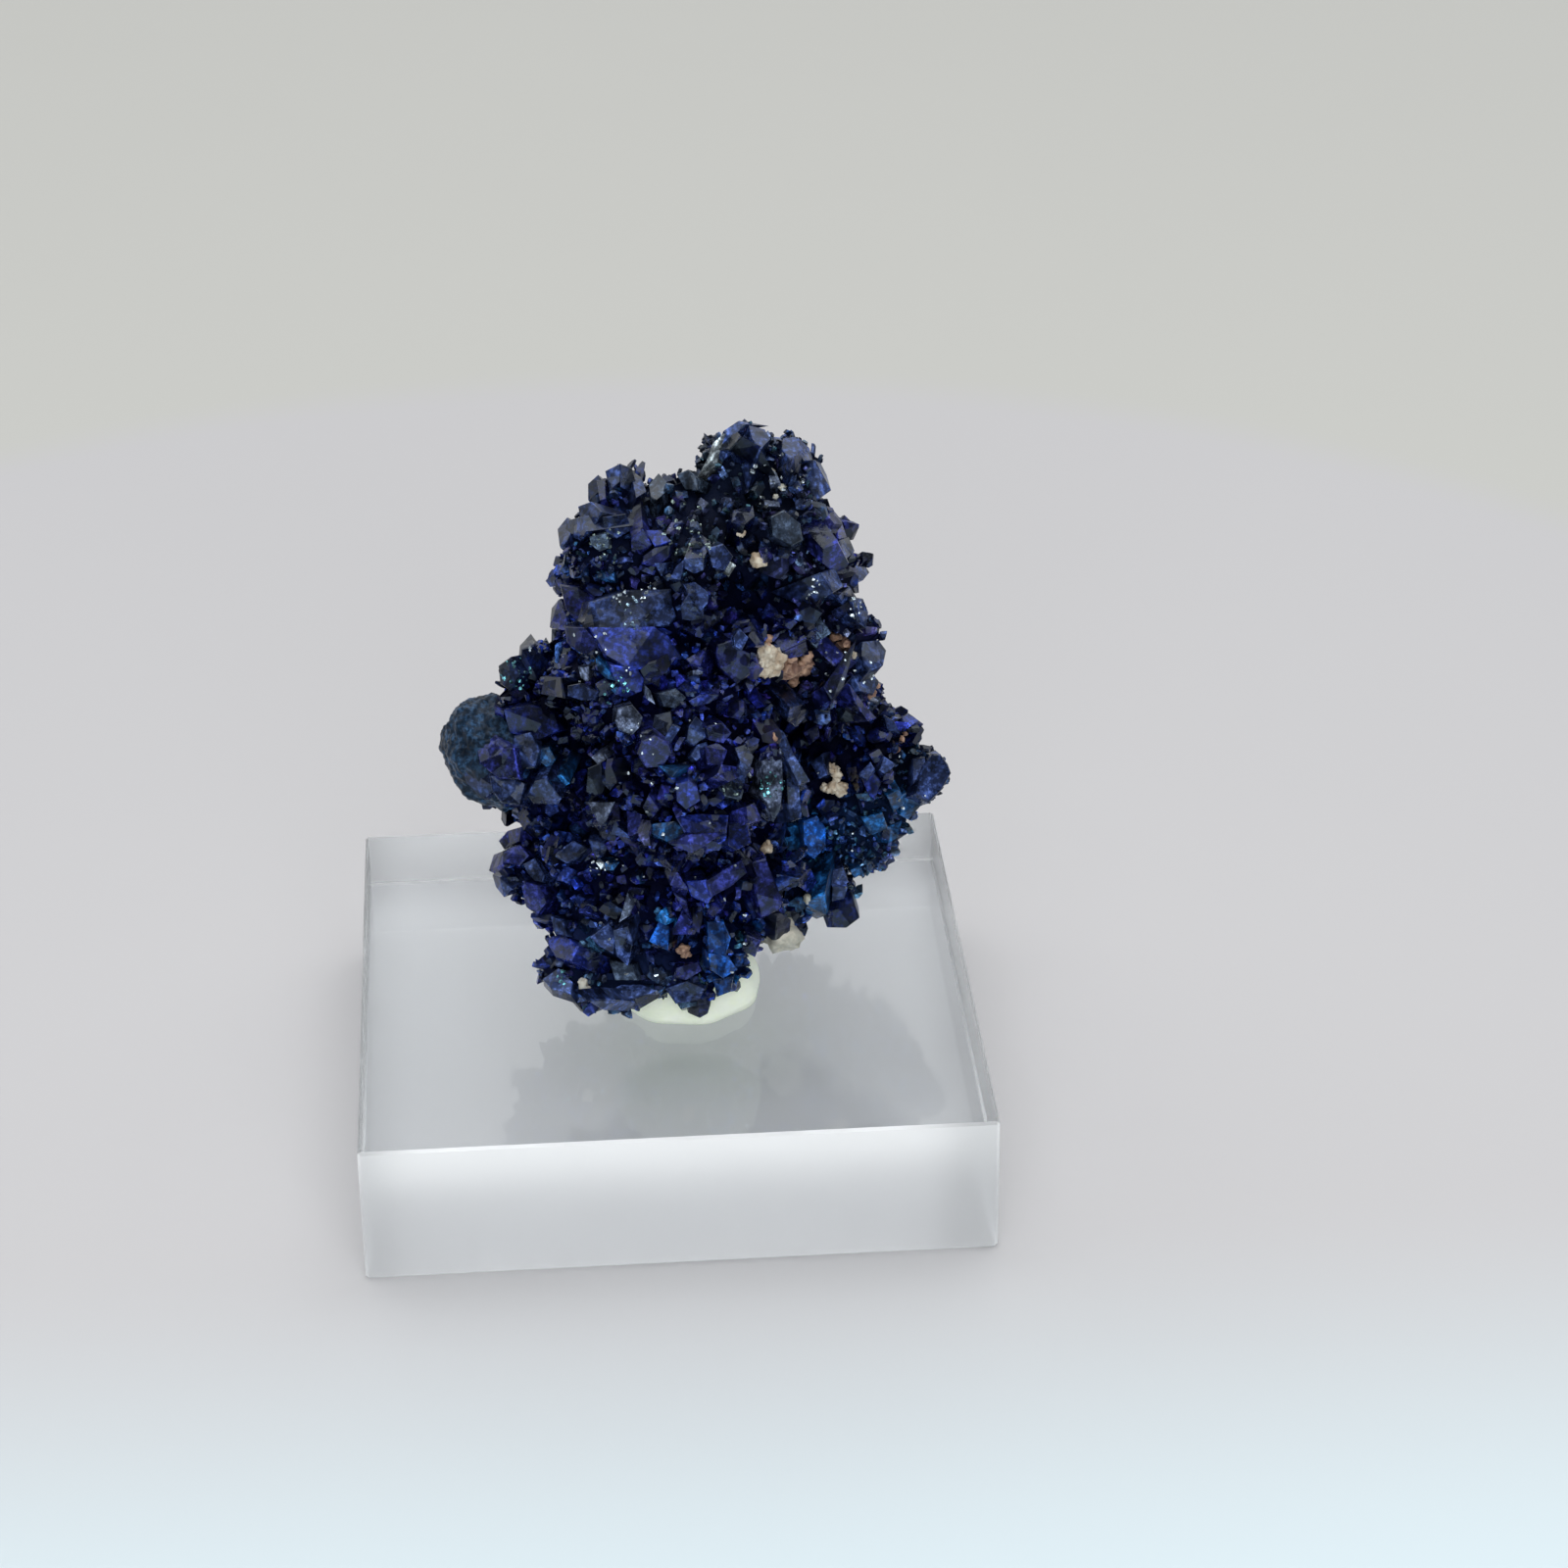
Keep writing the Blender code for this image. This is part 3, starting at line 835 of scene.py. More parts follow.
ZONES = (
    Zone("crown", (5.0, 1.5, 35.5), 5.0, (0.019, 0.032, 0.063), 0.55, 0.9, 0.6, 0.35),
    Zone("left crown", (-2.0, -1.0, 33.5), 4.2, (0.013, 0.025, 0.078), 0.6, 0.7, 0.5, 0.29),
    Zone("upper front", (2.0, -2.5, 33.6), 2.8, (0.018, 0.029, 0.047), 0.55, 0.9, 0.5, 0.24),
    # Painted shade: a near-black tint in the upper recess.
    Zone("upper recess", (5.0, -3.6, 31.0), 2.5, (0.002, 0.003, 0.020), 0.7, 0.0, 0.3, 0.01),
    Zone("right flank", (8.6, -1.0, 31.2), 2.3, (0.027, 0.037, 0.084), 0.6, 0.6, 0.5, 0.30),
    Zone("left flank", (-4.5, -2.0, 30.0), 4.0, (0.009, 0.021, 0.112), 0.6, 0.4, 0.5, 0.17),
    Zone("middle", (1.0, -7.0, 24.0), 5.0, (0.010, 0.017, 0.123), 0.8, 0.3, 0.45, 0.06),
    # Painted shade: near-black tints in the left crevice and round the dark post.
    Zone("left crevice", (-4.2, -5.0, 23.4), 3.2, (0.001, 0.002, 0.007), 0.8, 0.0, 0.3, 0.01),
    Zone("dark post", (-6.0, -1.5, 25.2), 2.6, (0.001, 0.001, 0.007), 0.8, 0.02, 0.1, 0.01),
    Zone("left wing", (-9.5, -2.0, 22.0), 3.4, (0.008, 0.027, 0.086), 0.5, 0.3, 0.8, 0.28),
    Zone("left knee", (-7.2, -3.0, 15.0), 3.5, (0.009, 0.023, 0.127), 0.65, 0.45, 0.45, 0.22),
    # The foot's tint and gap shade are raised: painted light for the light that the clear block throws up onto it, on
    # top of its own blue.
    Zone("foot", (-2.5, -6.0, 11.0), 3.4, (0.035, 0.069, 0.214), 0.65, 0.9, 0.5, 0.40),
    Zone("azure foot", (3.2, -6.5, 12.4), 2.3, (0.006, 0.044, 0.248), 0.8, 0.2, 0.5, 0.20),
    Zone("azure skirt", (8.0, 0.2, 14.6), 2.3, (0.017, 0.079, 0.376), 0.6, 0.3, 0.6, 0.35),
    Zone("wing hem", (11.5, 0.0, 14.2), 3.5, (0.026, 0.066, 0.187), 0.5, 0.6, 0.7, 0.40),
    Zone("skirt", (7.5, -1.5, 11.5), 2.4, (0.012, 0.033, 0.114), 0.65, 0.4, 0.6, 0.25),
    Zone("right tip", (14.0, 2.0, 17.4), 2.2, (0.010, 0.031, 0.061), 0.5, 0.4, 0.7, 0.28),
    Zone("right shoulder", (9.8, -0.2, 25.0), 3.4, (0.035, 0.047, 0.134), 0.55, 0.7, 0.5, 0.28),
    Zone("inner shoulder", (7.0, -1.5, 23.5), 2.8, (0.007, 0.009, 0.050), 0.65, 0.2, 0.4, 0.03),
    Zone("right wing", (9.8, -0.5, 20.3), 3.3, (0.004, 0.008, 0.045), 0.7, 0.2, 0.35, 0.03),
    Zone("keel", (0.5, -7.0, 15.5), 4.2, (0.008, 0.015, 0.106), 0.8, 0.25, 0.45, 0.06),
)

FACETS = (
    Facet(
        "tablet", Hue.INDIGO, 1.00,
        (604, 638, 668, 640, 680, 648, 694, 669, 662, 680, 640, 680, 620, 668), (0.1, -0.75, 0.6),
    ),
    Facet(
        "tablet top", Hue.SLATE, 0.90,
        (608, 614, 640, 603, 683, 602, 685, 618, 688, 628, 682, 637, 650, 641, 612, 640), (0.12, -0.82, 0.52),
    ),
    Facet(
        "tablet side", Hue.VIOLET, 0.45,
        (570, 598, 590, 600, 606, 612, 610, 640, 596, 640, 576, 622), (-0.35, -0.8, 0.45), 0.3,
    ),
    Facet("left ridge", Hue.VIOLET, 0.70, (575, 640, 596, 641, 612, 662, 606, 672, 590, 664, 578, 655)),
    Facet("left rim", Hue.VIOLET, 0.60, (560, 620, 570, 612, 574, 628, 572, 642, 561, 640)),
    Facet("left rim high", Hue.SLATE, 0.60, (569, 540, 577, 527, 583, 536, 578, 552, 570, 556)),
    # The lit and the shaded side of one upright crystal: the shaded side's low tone is painted shade, the lit side's
    # high tone painted light.
    Facet(
        "upright lit side", Hue.SLATE, 1.10,
        (699, 596, 709, 594, 723, 604, 722, 614, 715, 622, 704, 607), (0.1, -0.8, 0.6),
    ),
    Facet(
        "upright shaded side", Hue.SLATE, 0.45,
        (695, 620, 703, 607, 716, 623, 717, 631, 706, 634, 696, 633), (-0.2, -0.95, 0.1),
    ),
    Facet("blade tip", Hue.SLATE, 1.40, (755, 642, 763, 651, 757, 663, 750, 658, 749, 650), (0.2, -0.8, 0.55), 0.6),
    Facet(
        "blade body", Hue.VIOLET, 0.50,
        (734, 660, 750, 653, 757, 664, 766, 668, 765, 688, 752, 697, 736, 682, 732, 668), (0.1, -0.95, 0.3),
    ),
    Facet("tablet neighbour", Hue.VIOLET, 0.90, (700, 672, 720, 660, 718, 668, 714, 678, 704, 676)),
    Facet("slate wedge", Hue.SLATE, 0.90, (684, 590, 690, 578, 698, 571, 697, 580, 694, 590)),
    Facet("small triangle", Hue.SLATE, 1.80, (668, 575, 679, 575, 675, 588)),
    Facet("light block", Hue.SLATE, 1.20, (698, 571, 717, 571, 717, 582, 708, 586, 699, 581)),
    Facet("bright sliver", Hue.SILVER_GLINT, 0.70, (741, 571, 751, 577, 744, 588)),
    Facet("teal splinter", Hue.TEAL, 1.70, (608, 672, 617, 680, 626, 694, 618, 692, 610, 684)),
    Facet("teal splinter low", Hue.TEAL, 1.70, (622, 690, 631, 695, 628, 708, 624, 704)),
    Facet(
        "block under tablet", Hue.INDIGO, 1.20,
        (624, 680, 650, 683, 656, 694, 654, 705, 640, 712, 628, 708), (0.1, -0.95, 0.3), 0.3,
    ),
    Facet("slate plate", Hue.SLATE, 0.70, (580, 700, 592, 698, 608, 706, 606, 714, 592, 714, 580, 710)),
    Facet("pale sliver", Hue.PALE, 1.40, (590, 681, 596, 682, 598, 695, 593, 692)),
    Facet("pale edge", Hue.PALE, 1.40, (660, 702, 664, 706, 668, 718, 661, 714)),
    Facet("olive flat", Hue.OLIVE, 0.80, (672, 708, 690, 703, 700, 712, 690, 722, 678, 720)),
    Facet("blue fold", Hue.INDIGO, 1.40, (704, 716, 716, 709, 734, 710, 724, 718, 708, 721)),
    Facet("small pale", Hue.PALE, 0.90, (707, 684, 718, 683, 717, 688, 708, 688)),
    Facet(
        "rosette", Hue.PALE, 0.90,
        (632, 724, 645, 720, 655, 732, 652, 741, 645, 749, 634, 745, 629, 736), (0.1, -0.9, 0.42), 0.6,
    ),
    Facet("violet ball", Hue.VIOLET, 0.95, (655, 757, 668, 753, 682, 760, 685, 768, 676, 782, 660, 783, 652, 770)),
    Facet("olive shade", Hue.OLIVE, 0.20, (668, 730, 684, 726, 686, 742, 680, 757, 664, 754)),
    Facet("slate edge", Hue.SLATE, 1.30, (686, 740, 694, 743, 683, 760, 677, 758)),
    Facet("slate tall", Hue.SLATE, 0.90, (703, 742, 711, 732, 719, 741, 720, 752, 709, 760, 702, 755)),
    Facet("teal triangle", Hue.TEAL, 1.50, (671, 781, 692, 785, 685, 793)),
    Facet("indigo face", Hue.INDIGO, 1.30, (690, 801, 702, 797, 710, 804, 714, 818, 700, 826, 691, 818)),
    Facet("violet dark", Hue.VIOLET, 0.50, (656, 824, 662, 811, 672, 826, 664, 837)),
    Facet("violet edge", Hue.VIOLET, 0.80, (640, 828, 655, 831, 652, 849, 641, 853)),
    Facet("belly slate", Hue.SLATE, 1.00, (751, 762, 760, 760, 769, 770, 765, 781, 756, 776)),
    Facet("belly violet", Hue.VIOLET, 0.85, (720, 762, 733, 758, 742, 766, 738, 780, 724, 778)),
    Facet("belly violet low", Hue.VIOLET, 0.65, (738, 780, 755, 783, 760, 790, 745, 797, 734, 790)),
    Facet("belly violet high", Hue.VIOLET, 1.00, (722, 742, 738, 738, 746, 748, 738, 758, 724, 755)),
    Facet("belly pale", Hue.SLATE, 1.70, (712, 760, 721, 757, 725, 765, 712, 775, 706, 770)),
    Facet("olive pale", Hue.OLIVE, 1.80, (738, 800, 752, 797, 760, 806, 756, 816, 742, 812)),
    Facet(
        "pale blade", Hue.PALE, 0.65,
        (780, 781, 799, 768, 800, 800, 796, 826, 790, 838, 784, 820, 777, 812), (0.35, -0.9, 0.3), 0.6,
    ),
    Facet(
        "long blade", Hue.SLATE, 1.50,
        (788, 738, 802, 748, 810, 770, 828, 796, 817, 800, 803, 775, 792, 752), (0.4, -0.85, 0.35), 0.7,
    ),
    Facet(
        "long blade end", Hue.SLATE, 1.35,
        (802, 775, 814, 790, 816, 812, 818, 834, 808, 838, 804, 820), (0.5, -0.82, 0.25), 0.6,
    ),
    Facet("slate facet", Hue.SLATE, 1.00, (827, 778, 839, 770, 843, 790, 836, 794)),
    Facet(
        "level blade point", Hue.TEAL, 0.90,
        (656, 843, 670, 840, 688, 838, 698, 848, 684, 859, 668, 852), (-0.15, -0.75, 0.65),
    ),
    Facet(
        "level blade", Hue.INDIGO, 0.60,
        (690, 833, 716, 830, 742, 831, 741, 850, 716, 851, 700, 848), (0.05, -0.7, 0.72),
    ),
    Facet(
        "level blade under", Hue.VIOLET, 0.80,
        (684, 861, 702, 853, 738, 851, 720, 862, 706, 871), (0.05, -0.97, 0.2),
    ),
    Facet("blade neighbour", Hue.INDIGO, 0.90, (745, 843, 762, 839, 766, 860, 752, 867, 744, 862)),
    Facet("small rhomb", Hue.VIOLET, 0.70, (762, 823, 770, 820, 777, 836, 764, 839)),
    Facet(
        "slab", Hue.VIOLET, 1.00,
        (723, 898, 742, 886, 757, 878, 762, 891, 745, 905, 728, 914), (0.25, -0.85, 0.45),
    ),
    Facet("low slab", Hue.VIOLET, 0.85, (684, 903, 692, 894, 702, 908, 700, 918, 690, 917)),
    Facet("low slab glassy", Hue.INDIGO, 1.90, (702, 902, 722, 898, 730, 912, 722, 922, 708, 916)),
    Facet("slab edge", Hue.VIOLET, 0.60, (688, 912, 700, 920, 704, 937, 696, 926)),
    Facet(
        "right column", Hue.VIOLET, 1.09,
        (770, 883, 786, 880, 791, 902, 799, 920, 796, 928, 780, 937, 772, 912), (0.35, -0.9, 0.25),
    ),
    Facet(
        "azure patch", Hue.AZURE, 0.95,
        (820, 838, 834, 833, 843, 846, 842, 862, 832, 876, 822, 870), (0.1, -0.85, 0.5),
    ),
    Facet("azure side", Hue.TEAL, 1.59, (802, 845, 817, 842, 820, 866, 803, 868)),
    Facet("azure shard", Hue.AZURE, 0.85, (663, 960, 672, 942, 682, 946, 681, 969, 668, 963), (-0.1, -0.85, 0.5)),
    Facet("azure shard top", Hue.TEAL, 3.12, (666, 938, 674, 930, 681, 936, 679, 944, 668, 941)),
    # The foot and toe facets' high tones are partly painted light, for the light that the clear block throws up onto
    # them, on top of their own colour.
    Facet("foot slate", Hue.SLATE, 1.90, (603, 957, 618, 946, 626, 960, 623, 975, 610, 966)),
    Facet("foot sheet", Hue.SLATE, 1.71, (626, 950, 641, 946, 645, 965, 640, 985, 629, 975)),
    Facet("toe left", Hue.SLATE, 2.33, (554, 998, 570, 988, 582, 1000, 580, 1012, 562, 1008)),
    Facet(
        "toe pale", Hue.SLATE, 2.21,
        (620, 1012, 634, 1004, 654, 1004, 668, 1010, 648, 1018, 630, 1016), (0, -0.6, 0.8),
    ),
    Facet("toe bottom", Hue.SLATE, 1.59, (602, 1022, 625, 1020, 650, 1022, 643, 1033, 618, 1032)),
    Facet("foot olive", Hue.OLIVE, 1.46, (622, 980, 645, 985, 650, 1000, 628, 1000)),
    Facet("foot knob", Hue.INDIGO, 1.82, (556, 958, 572, 952, 586, 964, 582, 980, 566, 976)),
    Facet("azure foot top", Hue.AZURE, 0.70, (722, 942, 738, 942, 745, 958, 740, 974, 724, 972), (0.1, -0.9, 0.4)),
    Facet("azure foot", Hue.AZURE, 0.65, (724, 974, 742, 976, 752, 990, 738, 998, 726, 990), (0.2, -0.95, 0.2)),
    Facet("azure foot low", Hue.AZURE, 0.50, (728, 1000, 748, 997, 745, 1012, 732, 1017)),
    Facet("foot violet", Hue.VIOLET, 0.85, (690, 988, 712, 984, 716, 992, 700, 1000, 688, 998)),
    Facet("foot bottom", Hue.SLATE, 0.70, (680, 1012, 700, 1004, 718, 1010, 712, 1021, 690, 1024)),
    Facet("foot right", Hue.VIOLET, 0.80, (762, 955, 776, 961, 770, 976, 757, 970)),
    Facet("knee slab", Hue.SLATE, 1.17, (563, 872, 584, 858, 599, 866, 588, 877, 578, 880), (-0.2, -0.8, 0.55)),
    Facet("knee slab right", Hue.SLATE, 0.80, (600, 859, 620, 862, 616, 874, 610, 878, 604, 868)),
    Facet("knee pale", Hue.SLATE, 1.95, (534, 882, 545, 876, 554, 893, 553, 900, 545, 898, 538, 890)),
    Facet("knee top", Hue.VIOLET, 1.03, (512, 868, 530, 862, 538, 872, 528, 882, 514, 880)),
    Facet("knee crest", Hue.VIOLET, 0.80, (509, 858, 518, 848, 532, 844, 530, 858, 514, 866)),
    Facet("knee rim", Hue.VIOLET, 0.63, (500, 872, 510, 868, 513, 882, 508, 894, 499, 888)),
    Facet("knee rim low", Hue.SLATE, 0.69, (500, 894, 510, 896, 520, 908, 514, 915, 504, 906)),
    Facet("knee low", Hue.VIOLET, 0.69, (530, 900, 550, 905, 556, 920, 548, 933, 536, 925)),
    Facet("knee band", Hue.SLATE, 1.30, (562, 935, 574, 940, 578, 955, 566, 952)),
    Facet("bright shard", Hue.SILVER_GLINT, 1.15, (608, 880, 616, 881, 613, 887)),
    Facet("teal shard", Hue.TEAL, 2.20, (618, 881, 632, 880, 626, 888, 618, 888)),
    Facet("pale splinter", Hue.PALE, 1.10, (640, 912, 645, 924, 640, 935, 632, 940, 638, 925)),
    Facet("down pyramid", Hue.PALE, 0.90, (600, 819, 626, 819, 618, 838, 613, 843, 606, 828), (0, -0.85, 0.5), 0.6),
    Facet(
        "rim lilac", Hue.VIOLET, 1.10,
        (486, 764, 503, 751, 523, 764, 526, 793, 506, 793, 490, 778), (-0.3, -0.8, 0.5), 0.9,
    ),
    Facet("rim plate", Hue.SLATE, 0.75, (472, 782, 497, 784, 506, 804, 490, 816, 474, 798), (-0.4, -0.85, 0.3), 0.9),
    Facet("rim stain", Hue.OLIVE, 0.25, (477, 733, 492, 727, 505, 738, 501, 752, 487, 753), (-0.4, -0.7, 0.6), 0.9),
    Facet(
        "wing plate", Hue.SLATE, 1.00,
        (525, 752, 540, 748, 548, 765, 544, 782, 528, 784, 520, 768), (-0.2, -0.85, 0.5),
    ),
    Facet(
        "wing plate low", Hue.SLATE, 0.90,
        (500, 792, 520, 790, 534, 800, 530, 820, 512, 818, 502, 806), (-0.2, -0.8, 0.55),
    ),
    Facet("wing grey", Hue.SLATE, 0.95, (545, 800, 556, 797, 572, 815, 568, 822, 545, 821, 538, 812)),
    Facet("wing shard", Hue.TEAL, 2.00, (561, 795, 572, 792, 580, 800, 572, 806, 564, 806)),
    Facet(
        "wing blue", Hue.INDIGO, 0.60,
        (514, 724, 545, 720, 565, 728, 570, 745, 550, 755, 520, 748), (-0.1, -0.9, 0.4),
    ),
    Facet("wing blue side", Hue.VIOLET, 0.80, (504, 722, 514, 726, 513, 745, 506, 738)),
    Facet("dark prism", Hue.PAINTED_SHADE, 0.80, (533, 663, 545, 660, 560, 676, 550, 696, 532, 690), (0, -0.95, 0.3)),
    Facet("dark prism right", Hue.PAINTED_SHADE, 0.60, (556, 690, 572, 692, 574, 712, 552, 708)),
    Facet("prism side", Hue.SLATE, 0.50, (507, 680, 520, 672, 528, 688, 520, 704, 509, 697), (-0.5, -0.8, 0.4)),
    # The crevice crystals' tones are cut low: painted shade.
    Facet("crevice olive", Hue.OLIVE, 0.40, (600, 785, 612, 780, 618, 800, 612, 815, 598, 808)),
    Facet("crevice slate", Hue.SLATE, 0.50, (613, 785, 624, 782, 632, 800, 622, 808, 614, 798)),
    Facet("crevice pale", Hue.PALE, 0.54, (604, 773, 614, 769, 618, 775, 610, 780)),
    Facet("crevice teal", Hue.TEAL, 0.60, (550, 765, 560, 763, 566, 775, 560, 785, 552, 778)),
    Facet("knob", Hue.SLATE, 1.10, (618, 481, 632, 474, 634, 490, 622, 500), (-0.3, -0.75, 0.6)),
    Facet("knob middle", Hue.SLATE, 0.80, (635, 474, 645, 478, 648, 490, 646, 502, 634, 496), (0.1, -0.85, 0.5)),
    Facet("knob right", Hue.SLATE, 0.85, (644, 477, 655, 488, 660, 500, 650, 506, 646, 492)),
    Facet("knob left", Hue.VIOLET, 0.40, (609, 490, 617, 491, 618, 508, 612, 510)),
    Facet("saddle wedge", Hue.OLIVE, 1.50, (662, 493, 672, 483, 680, 490, 679, 500, 670, 510, 664, 505)),
    Facet("saddle block", Hue.OLIVE, 1.60, (690, 484, 702, 480, 714, 490, 712, 500, 698, 498)),
    Facet("left slope", Hue.SLATE, 0.95, (590, 517, 602, 512, 612, 522, 606, 535, 592, 530)),
    Facet("left slope low", Hue.SLATE, 0.70, (575, 532, 590, 528, 598, 542, 590, 552, 576, 545)),
    Facet("pale sugar", Hue.OLIVE, 2.20, (602, 548, 618, 545, 622, 558, 612, 562, 604, 556)),
    Facet("round violet left", Hue.VIOLET, 1.10, (645, 551, 656, 542, 664, 556, 655, 567, 645, 562)),
    Facet("round violet top", Hue.INDIGO, 1.20, (658, 541, 674, 541, 684, 552, 668, 557)),
    Facet("round violet low", Hue.VIOLET, 0.80, (657, 567, 668, 559, 684, 556, 682, 568, 670, 577, 656, 574)),
    Facet("grey sheet", Hue.SLATE, 0.80, (616, 528, 638, 525, 645, 540, 630, 548, 618, 542)),
    Facet("peak", Hue.SLATE, 1.25, (722, 468, 738, 440, 750, 427, 756, 433, 748, 447, 734, 466), (-0.5, -0.7, 0.5)),
    Facet(
        "peak edge", Hue.SILVER_GLINT, 0.60,
        (726, 453, 737, 443, 729, 458, 725, 470, 711, 487, 722, 468), (-0.5, -0.7, 0.5), 0.75,
    ),
    Facet("peak shade", Hue.PAINTED_SHADE, 0.80, (740, 447, 752, 441, 756, 446, 744, 458, 734, 458)),
    Facet("crown face", Hue.SLATE, 1.25, (743, 458, 760, 444, 768, 455, 762, 463, 748, 463), (-0.1, -0.7, 0.7)),
    Facet("crown face right", Hue.SLATE, 1.05, (764, 434, 780, 438, 786, 448, 776, 458, 768, 448)),
    Facet("crown knob", Hue.SLATE, 1.05, (800, 447, 812, 446, 818, 458, 806, 468, 798, 458)),
    Facet("crown knob right", Hue.SLATE, 0.85, (814, 446, 827, 456, 831, 468, 820, 470, 816, 458)),
    Facet("crown side", Hue.SLATE, 1.12, (832, 470, 843, 468, 849, 482, 848, 500, 842, 504, 836, 485)),
    Facet("flank ridge", Hue.VIOLET, 1.12, (850, 520, 858, 530, 864, 548, 856, 550)),
    Facet("flank ridge low", Hue.SLATE, 1.12, (856, 552, 866, 548, 872, 562, 864, 570)),
    Facet("flank spur", Hue.SLATE, 1.25, (868, 571, 880, 573, 887, 584, 881, 591, 870, 588, 864, 578)),
    Facet(
        "grey block", Hue.OLIVE, 1.20,
        (788, 528, 800, 522, 816, 534, 818, 550, 808, 556, 790, 546), (0.2, -0.8, 0.55),
    ),
    Facet("shade under crown", Hue.PAINTED_SHADE, 0.80, (750, 518, 768, 516, 770, 526, 760, 535, 748, 530)),
    Facet("flank violet", Hue.VIOLET, 1.06, (840, 560, 856, 555, 866, 575, 858, 590, 840, 575)),
    Facet("flank slate", Hue.SLATE, 1.19, (838, 585, 852, 580, 860, 598, 850, 604)),
    Facet("crown pale", Hue.PALE, 1.00, (784, 478, 792, 482, 796, 492, 786, 494)),
    Facet("crown flake", Hue.PALE, 0.80, (780, 510, 795, 512, 796, 517, 782, 516)),
    Facet("front slate", Hue.SLATE, 0.80, (724, 560, 738, 556, 748, 568, 740, 582, 728, 578)),
    Facet("recess slate", Hue.SLATE, 1.12, (856, 608, 868, 600, 874, 610, 862, 620)),
    Facet("glinting crystal", Hue.SLATE, 1.12, (870, 610, 882, 612, 887, 625, 884, 640, 876, 634, 872, 622)),
    Facet("shoulder knob", Hue.SLATE, 1.19, (880, 655, 898, 652, 905, 662, 901, 678, 888, 682, 880, 668)),
    Facet("shoulder light", Hue.SLATE, 1.50, (872, 690, 888, 684, 897, 696, 891, 708, 878, 705)),
    Facet("shoulder slope", Hue.VIOLET, 0.90, (868, 700, 884, 722, 894, 732, 886, 735, 874, 718)),
    Facet("shoulder rhomb", Hue.VIOLET, 0.75, (826, 712, 838, 704, 848, 714, 842, 726, 832, 724)),
    Facet("inner slate", Hue.SLATE, 0.50, (806, 722, 822, 720, 828, 730, 812, 742, 804, 736)),
    Facet("inner violet", Hue.VIOLET, 0.60, (820, 748, 834, 740, 836, 752, 826, 760)),
    Facet("tan neighbour", Hue.VIOLET, 0.60, (800, 665, 822, 655, 825, 668, 806, 672)),
    Facet("shoulder facet", Hue.VIOLET, 0.94, (852, 680, 864, 672, 874, 676, 862, 688)),
    Facet("wing slate", Hue.SLATE, 0.70, (902, 730, 912, 736, 918, 748, 906, 745)),
    Facet("wing fork", Hue.INDIGO, 1.30, (880, 793, 888, 785, 899, 798, 893, 815, 886, 810), (0.05, -0.9, 0.4)),
    Facet("wing fork left", Hue.SLATE, 1.00, (876, 790, 888, 778, 892, 785, 884, 795), (-0.2, -0.75, 0.65)),
    Facet("wing fork right", Hue.SLATE, 1.30, (902, 772, 914, 780, 904, 790, 898, 785), (0.3, -0.75, 0.6)),
    Facet(
        "tip block", Hue.SLATE, 1.30,
        (944, 781, 953, 771, 960, 771, 967, 781, 970, 789, 960, 806, 949, 817, 935, 809, 938, 796), (0.3, -0.8, 0.5),
    ),
    Facet("tip arm", Hue.SLATE, 1.00, (933, 775, 944, 773, 944, 781, 938, 793, 932, 800)),
    Facet(
        "tip underside", Hue.TEAL, 1.20,
        (922, 814, 935, 806, 947, 817, 939, 823, 928, 837, 919, 831), (0.3, -0.95, 0.1),
    ),
    Facet("wing teal", Hue.TEAL, 0.90, (905, 812, 918, 806, 922, 820, 912, 828)),
    Facet("hem teal", Hue.TEAL, 1.30, (880, 835, 900, 830, 905, 845, 890, 852)),
    Facet("hem edge", Hue.TEAL, 1.16, (905, 845, 920, 838, 916, 854, 908, 860)),
    Facet("hem tip", Hue.TEAL, 1.45, (868, 888, 878, 884, 881, 891, 872, 896)),
    Facet("skirt right", Hue.SLATE, 1.16, (845, 890, 860, 885, 865, 900, 852, 908)),
    Facet("skirt teal", Hue.TEAL, 1.38, (820, 922, 840, 918, 843, 934, 832, 944, 822, 939)),
    Facet("skirt indigo", Hue.INDIGO, 1.45, (815, 892, 830, 890, 838, 905, 826, 912, 816, 905)),
    Facet("skirt edge", Hue.SLATE, 1.30, (850, 905, 865, 905, 861, 917, 850, 919)),
    Facet("skirt azure", Hue.AZURE, 0.72, (830, 905, 846, 903, 848, 918, 838, 925)),
)

BED_LAYERS = (
    BedLayer("azurite_broad_crystals", 10, 2.3, (1.8, 2.7), (1.4, 2.1), (-0.05, 0.2), 4000, 14.0, 0.72, 0.0, 0.6),
    BedLayer("azurite_middling_crystals", 11, 1.25, (1.1, 2.0), (0.85, 1.5), (-0.03, 0.28), 9000, 8.0, 0.0, 0.1, 0.7),
    BedLayer("azurite_small_crystals", 12, 0.76, (0.7, 1.2), (0.5, 0.9), (-0.1, 0.24), 30000, 4.0, 0.0, 0.2, 0.8),
    BedLayer("azurite_sugar_crystals", 13, 0.52, (0.35, 0.65), (0.26, 0.50), (-0.2, 0.14), 34000, 1.0, 0.0, 0.6, 0.9),
)

